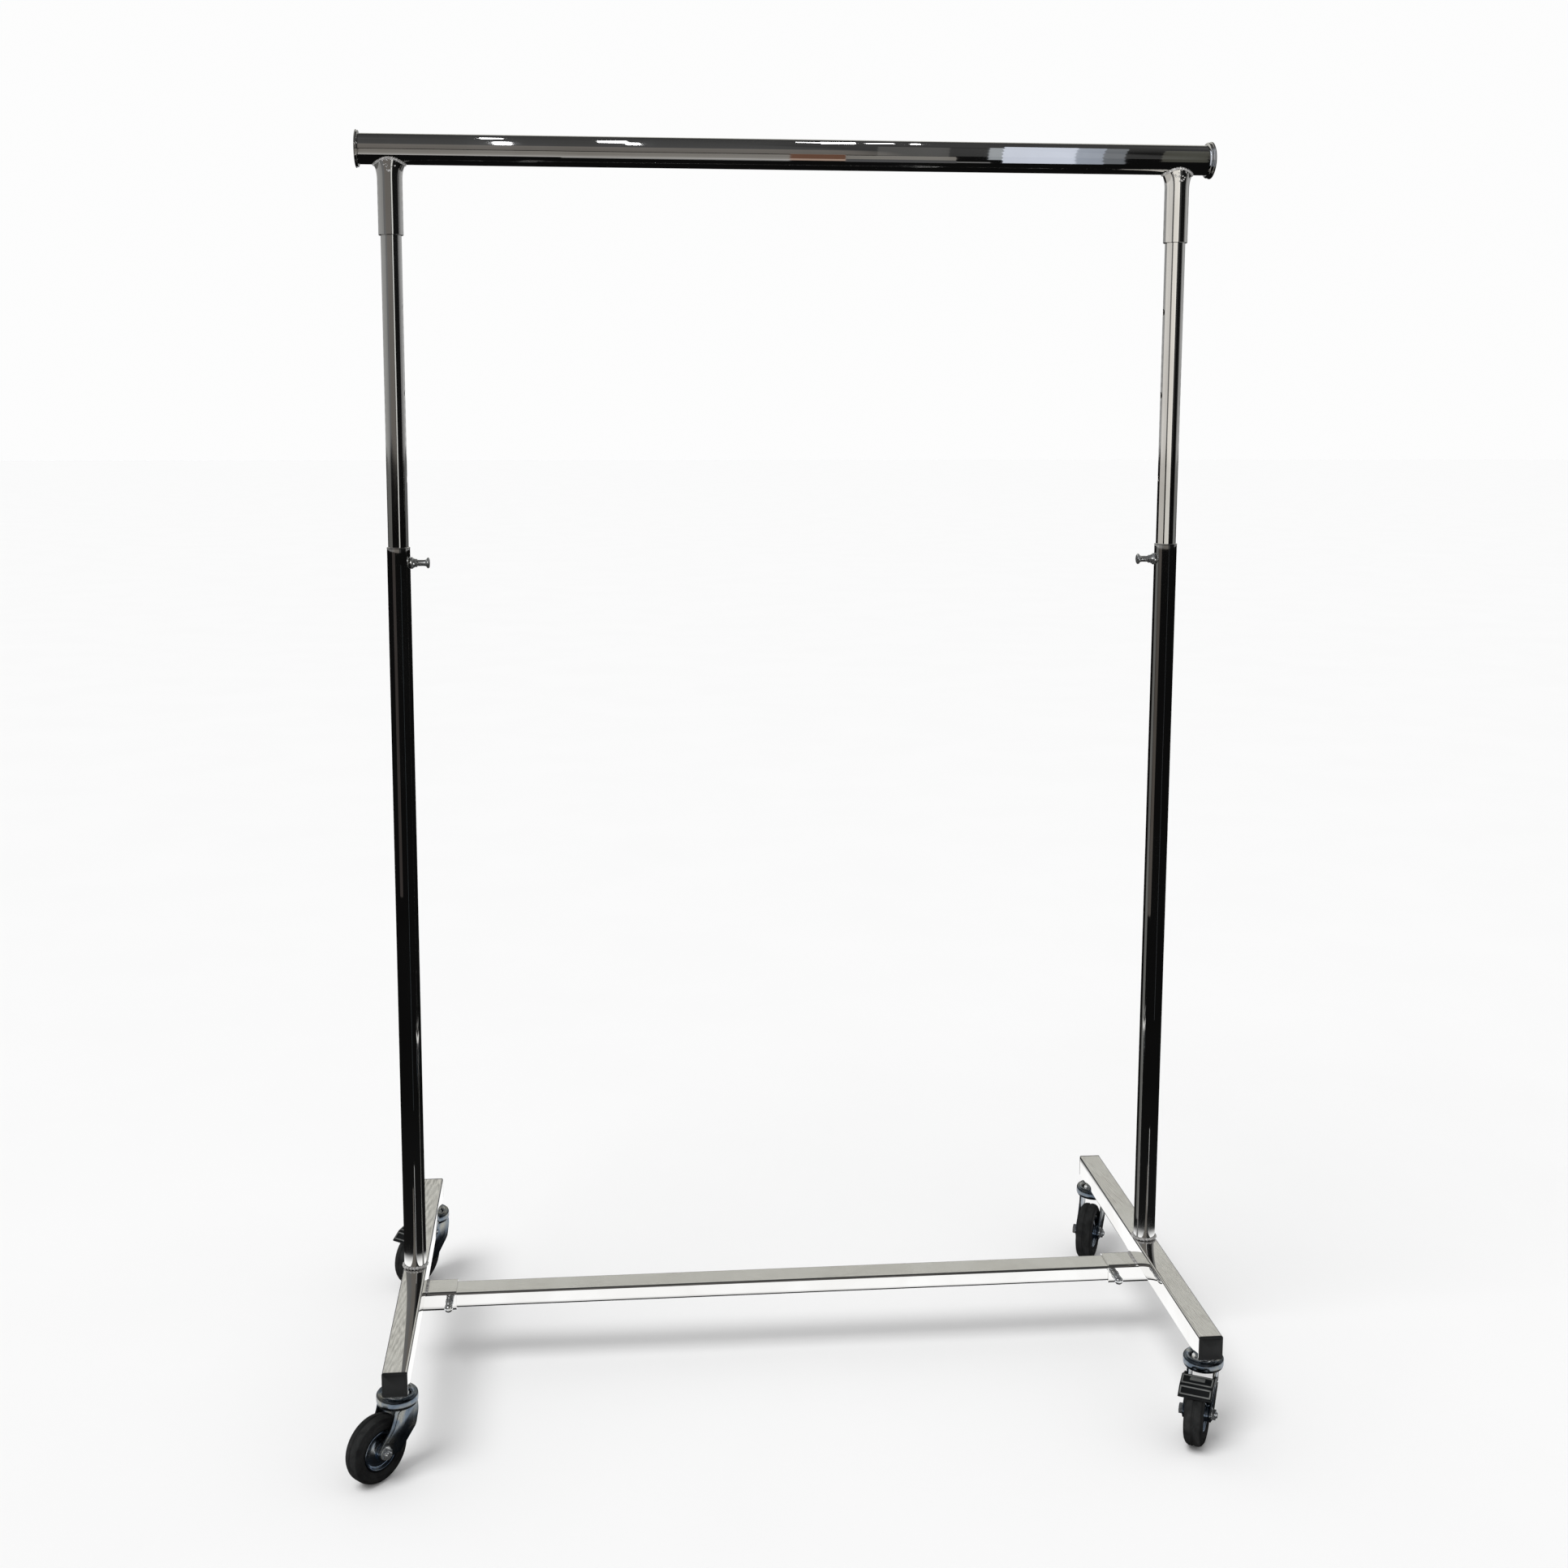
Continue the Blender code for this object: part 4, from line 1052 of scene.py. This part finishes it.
# (start and end along the rail, lowest and highest angle that mirrors it, colour)
RAIL_CARDS = [
    (-0.56, -0.005, -30, -7, (0.19, 0.18, 0.165)),
    (-0.56, -0.005, -41, -30, (0.23, 0.22, 0.205)),
    (-0.56, -0.005, -50, -41, (0.36, 0.35, 0.34)),
    (-0.30, -0.005, -56, -50, (0.20, 0.20, 0.195)),
    (-0.005, 0.068, -36, -2, (0.13, 0.065, 0.042)),
    (-0.005, 0.068, -50, -36, (0.36, 0.26, 0.21)),
    (0.068, 0.215, -34, -7, (0.19, 0.18, 0.165)),
    (0.068, 0.215, -56, -34, (0.07, 0.07, 0.072)),
    (0.110, 0.205, -9, 66, (0.045, 0.044, 0.042)),
    (0.215, 0.260, -52, -44, (0.16, 0.16, 0.16)),
    (0.258, 0.277, -26, 70, (0.30, 0.32, 0.34)),
    (0.277, 0.376, -50, 82, (0.60, 0.64, 0.74)),
    (0.376, 0.414, -50, 81, (0.30, 0.33, 0.39)),
    (0.414, 0.444, -46, 80, (0.14, 0.15, 0.165)),
    (0.495, 0.560, -24, 68, (0.055, 0.055, 0.045)),
]
# (place along the rail, angle up, length, width) of the lamps above it
RAIL_LAMPS = [
    (-0.383, 88, 0.030, 0.034), (-0.374, 45, 0.022, 0.08), (-0.232, 72, 0.040, 0.06),
    (-0.207, 56, 0.018, 0.06), (0.058, 93, 0.048, 0.06), (0.040, 95, 0.080, 0.015),
    (0.112, 95, 0.040, 0.014), (0.158, 94, 0.014, 0.034),
]


def light_rail():
    """Cards bent round the front of the rail, and lamps over it."""
    pieces = ["rail_tube", "rail_cap_left", "rail_cap_right"]
    eye = bpy.context.scene.camera.location

    def shifted(x):
        return x + CARD_OUT * (x - eye.x) / (RAIL.y - eye.y)

    def seen_at(angle):
        """The rail's own thickness moves the place where its mirrored rays meet the cards."""
        lean = math.sin(math.radians((EYE_BELOW - angle) / 2))
        return angle + math.degrees(math.asin(RAIL_R / CARD_OUT * lean))

    def hang(name, x, angle, size, colour, pieces):
        turn = math.radians(angle)
        out = Vector((0, -math.cos(turn), math.sin(turn)))
        glow(name, Vector((x, RAIL.y, RAIL.z)) + CARD_OUT * out, -out, size, colour, pieces)

    for i, (start, end, low, high, colour) in enumerate(RAIL_CARDS):
        a, b, low, high = shifted(start), shifted(end), seen_at(low), seen_at(high)
        count = math.ceil((high - low) / WIDEST_CARD)
        step = (high - low) / count
        wide = 2 * CARD_OUT * math.tan(math.radians(step / 2))
        for k in range(count):
            hang(f"rail_card_{i}_{k}", (a + b) / 2, low + (k + 0.5) * step, (b - a, wide), colour, pieces)
    for i, (x, angle, length, width) in enumerate(RAIL_LAMPS):
        hang(f"rail_lamp_{i}", shifted(x), angle, (length, width), (9.0, 9.0, 9.2), pieces[:1])


STRIP_GAP = 0.15              # how far the tubes' cards stand from their axis
# (side, start and end heading, start and end height, colour)
TUBE_CARDS = {
    "upper": [
        ("right", -130, -62, 1.06, 1.64, (0.46, 0.44, 0.41)),
        ("right", -180, -145, 1.06, 1.64, (0.62, 0.60, 0.56)),
        ("right", 169, 180, 1.06, 1.64, (0.70, 0.68, 0.64)),
        ("right", 60, 112, 1.06, 1.64, (0.16, 0.16, 0.155)),
        ("left", 155, 165, 1.06, 1.64, (0.62, 0.62, 0.60)),
        ("left", -120, -50, 1.06, 1.64, (0.10, 0.10, 0.095)),
        ("left", 20, 80, 1.06, 1.64, (0.10, 0.10, 0.10)),
    ],
    "lower": [
        ("left", 163, 166, 0.06, 0.22, (0.55, 0.55, 0.55)),
        ("left", 156, 158, 0.30, 1.05, (0.05, 0.06, 0.065)),
        ("left", -150, -120, 0.60, 1.10, (0.035, 0.030, 0.028)),
        ("right", 171, 174, 0.06, 0.24, (0.60, 0.60, 0.60)),
        ("right", -128, -96, 0.55, 1.10, (0.07, 0.062, 0.055)),
        ("right", -92, -60, 0.10, 1.10, (0.12, 0.12, 0.115)),
        ("right", 160, 162, 0.40, 1.08, (0.06, 0.065, 0.07)),
    ],
}


def light_tubes():
    """Tall cards round the uprights."""
    seen_in = {"upper": ("slide_tube_", "socket_", "socket_weld_"), "lower": ("upright_",)}
    for part, cards in TUBE_CARDS.items():
        for i, (tag, start, end, low, high, colour) in enumerate(cards):
            axis = centre_of("upper_tube_" + tag)
            turn = math.radians((start + end) / 2)
            out = Vector((math.sin(turn), math.cos(turn), 0))
            place = Vector((axis.x, axis.y, (low + high) / 2)) + STRIP_GAP * out
            wide = 2 * STRIP_GAP * math.tan(math.radians((end - start) / 2))
            pieces = [name + tag for name in seen_in[part]]
            glow(f"{part}_card_{i}", place, -out, (wide, high - low), colour, pieces)
    for tag in SIDES:
        joint = Vector((centre_of("upper_tube_" + tag).x, RAIL.y, RAIL.z))
        for i, out in enumerate((Vector((-0.10, -0.30, 0.16)), Vector((0.06, -0.30, -0.10)))):
            weld = ["socket_weld_" + tag]
            glow(f"weld_card_{tag}_{i}", joint + out, -out, (0.09, 0.09), (2.6, 2.6, 2.6), weld)


def light_fittings():
    """Two bright panels, high on the left and low on the right, for the pins, nuts and kingpins."""
    ends = ("_knob", "_barrel", "_bolt", "_nut", "_kingpin")
    pieces = [item.name for item in bpy.data.objects if item.name.endswith(ends)]
    target = Vector((0, 0, 0.4))
    for i, (place, size) in enumerate(((Vector((-1.2, -1.8, 1.6)), 0.9), (Vector((1.5, -1.6, 0.5)), 0.7))):
        glow(f"fitting_card_{i}", place, target - place, (size, size), (2.4, 2.4, 2.4), pieces)


def make_camera():
    """The eye stands left of the middle at about 1.26 m, and looks down a little."""
    data = bpy.data.cameras.new("camera")
    data.lens = 42.52
    data.sensor_width = 36.0
    data.shift_x = 0.0185
    data.shift_y = -0.0832
    data.clip_end = 200.0
    camera = placed("camera", data)
    camera.location = (-0.2576, -2.3251, 1.2609)
    yaw, pitch, roll = math.radians(5.211), math.radians(7.662), math.radians(0.108)
    forward = Vector((math.sin(yaw) * math.cos(pitch), math.cos(yaw) * math.cos(pitch), -math.sin(pitch)))
    right = Vector((math.cos(yaw), -math.sin(yaw), 0))
    up = right.cross(forward)
    level = math.cos(roll) * right + math.sin(roll) * up
    tall = math.cos(roll) * up - math.sin(roll) * right
    camera.rotation_euler = Matrix((level, tall, -forward)).transposed().to_euler()
    bpy.context.scene.camera = camera


make_rail()
for tag, side in SIDES.items():
    make_upper_tube(tag, side)
    make_lower_upright(tag, side)
    make_leg(tag)
    for kind in ("height", "crossbar"):
        make_pin(kind, tag)
        spring = frame["nodes"][f"{kind}_pin_{tag}_spring"]
        for material_slot in spring.material_slots:
            material_slot.material = LOOKS["spring"]
crossbar = bar_tube("crossbar", LEG_WALL, 0.0026, SIDES)
piece("bar_tube", crossbar, "base", ["crossbar"], ["bar"])
for tag, side in SIDES.items():
    make_sleeve(tag, side)
for tag in CASTERS:
    place = caster_frame(tag)
    make_fork(tag, place)
    make_stem(tag, place)
    make_wheel(tag, place)
    make_axle(tag, place)
    if tag in BRAKED:
        make_pedal(tag, place)

make_floor()
make_world()
make_sun()
make_camera()
light_rail()
light_tubes()
light_fittings()
bpy.context.scene.view_settings.view_transform = "Standard"
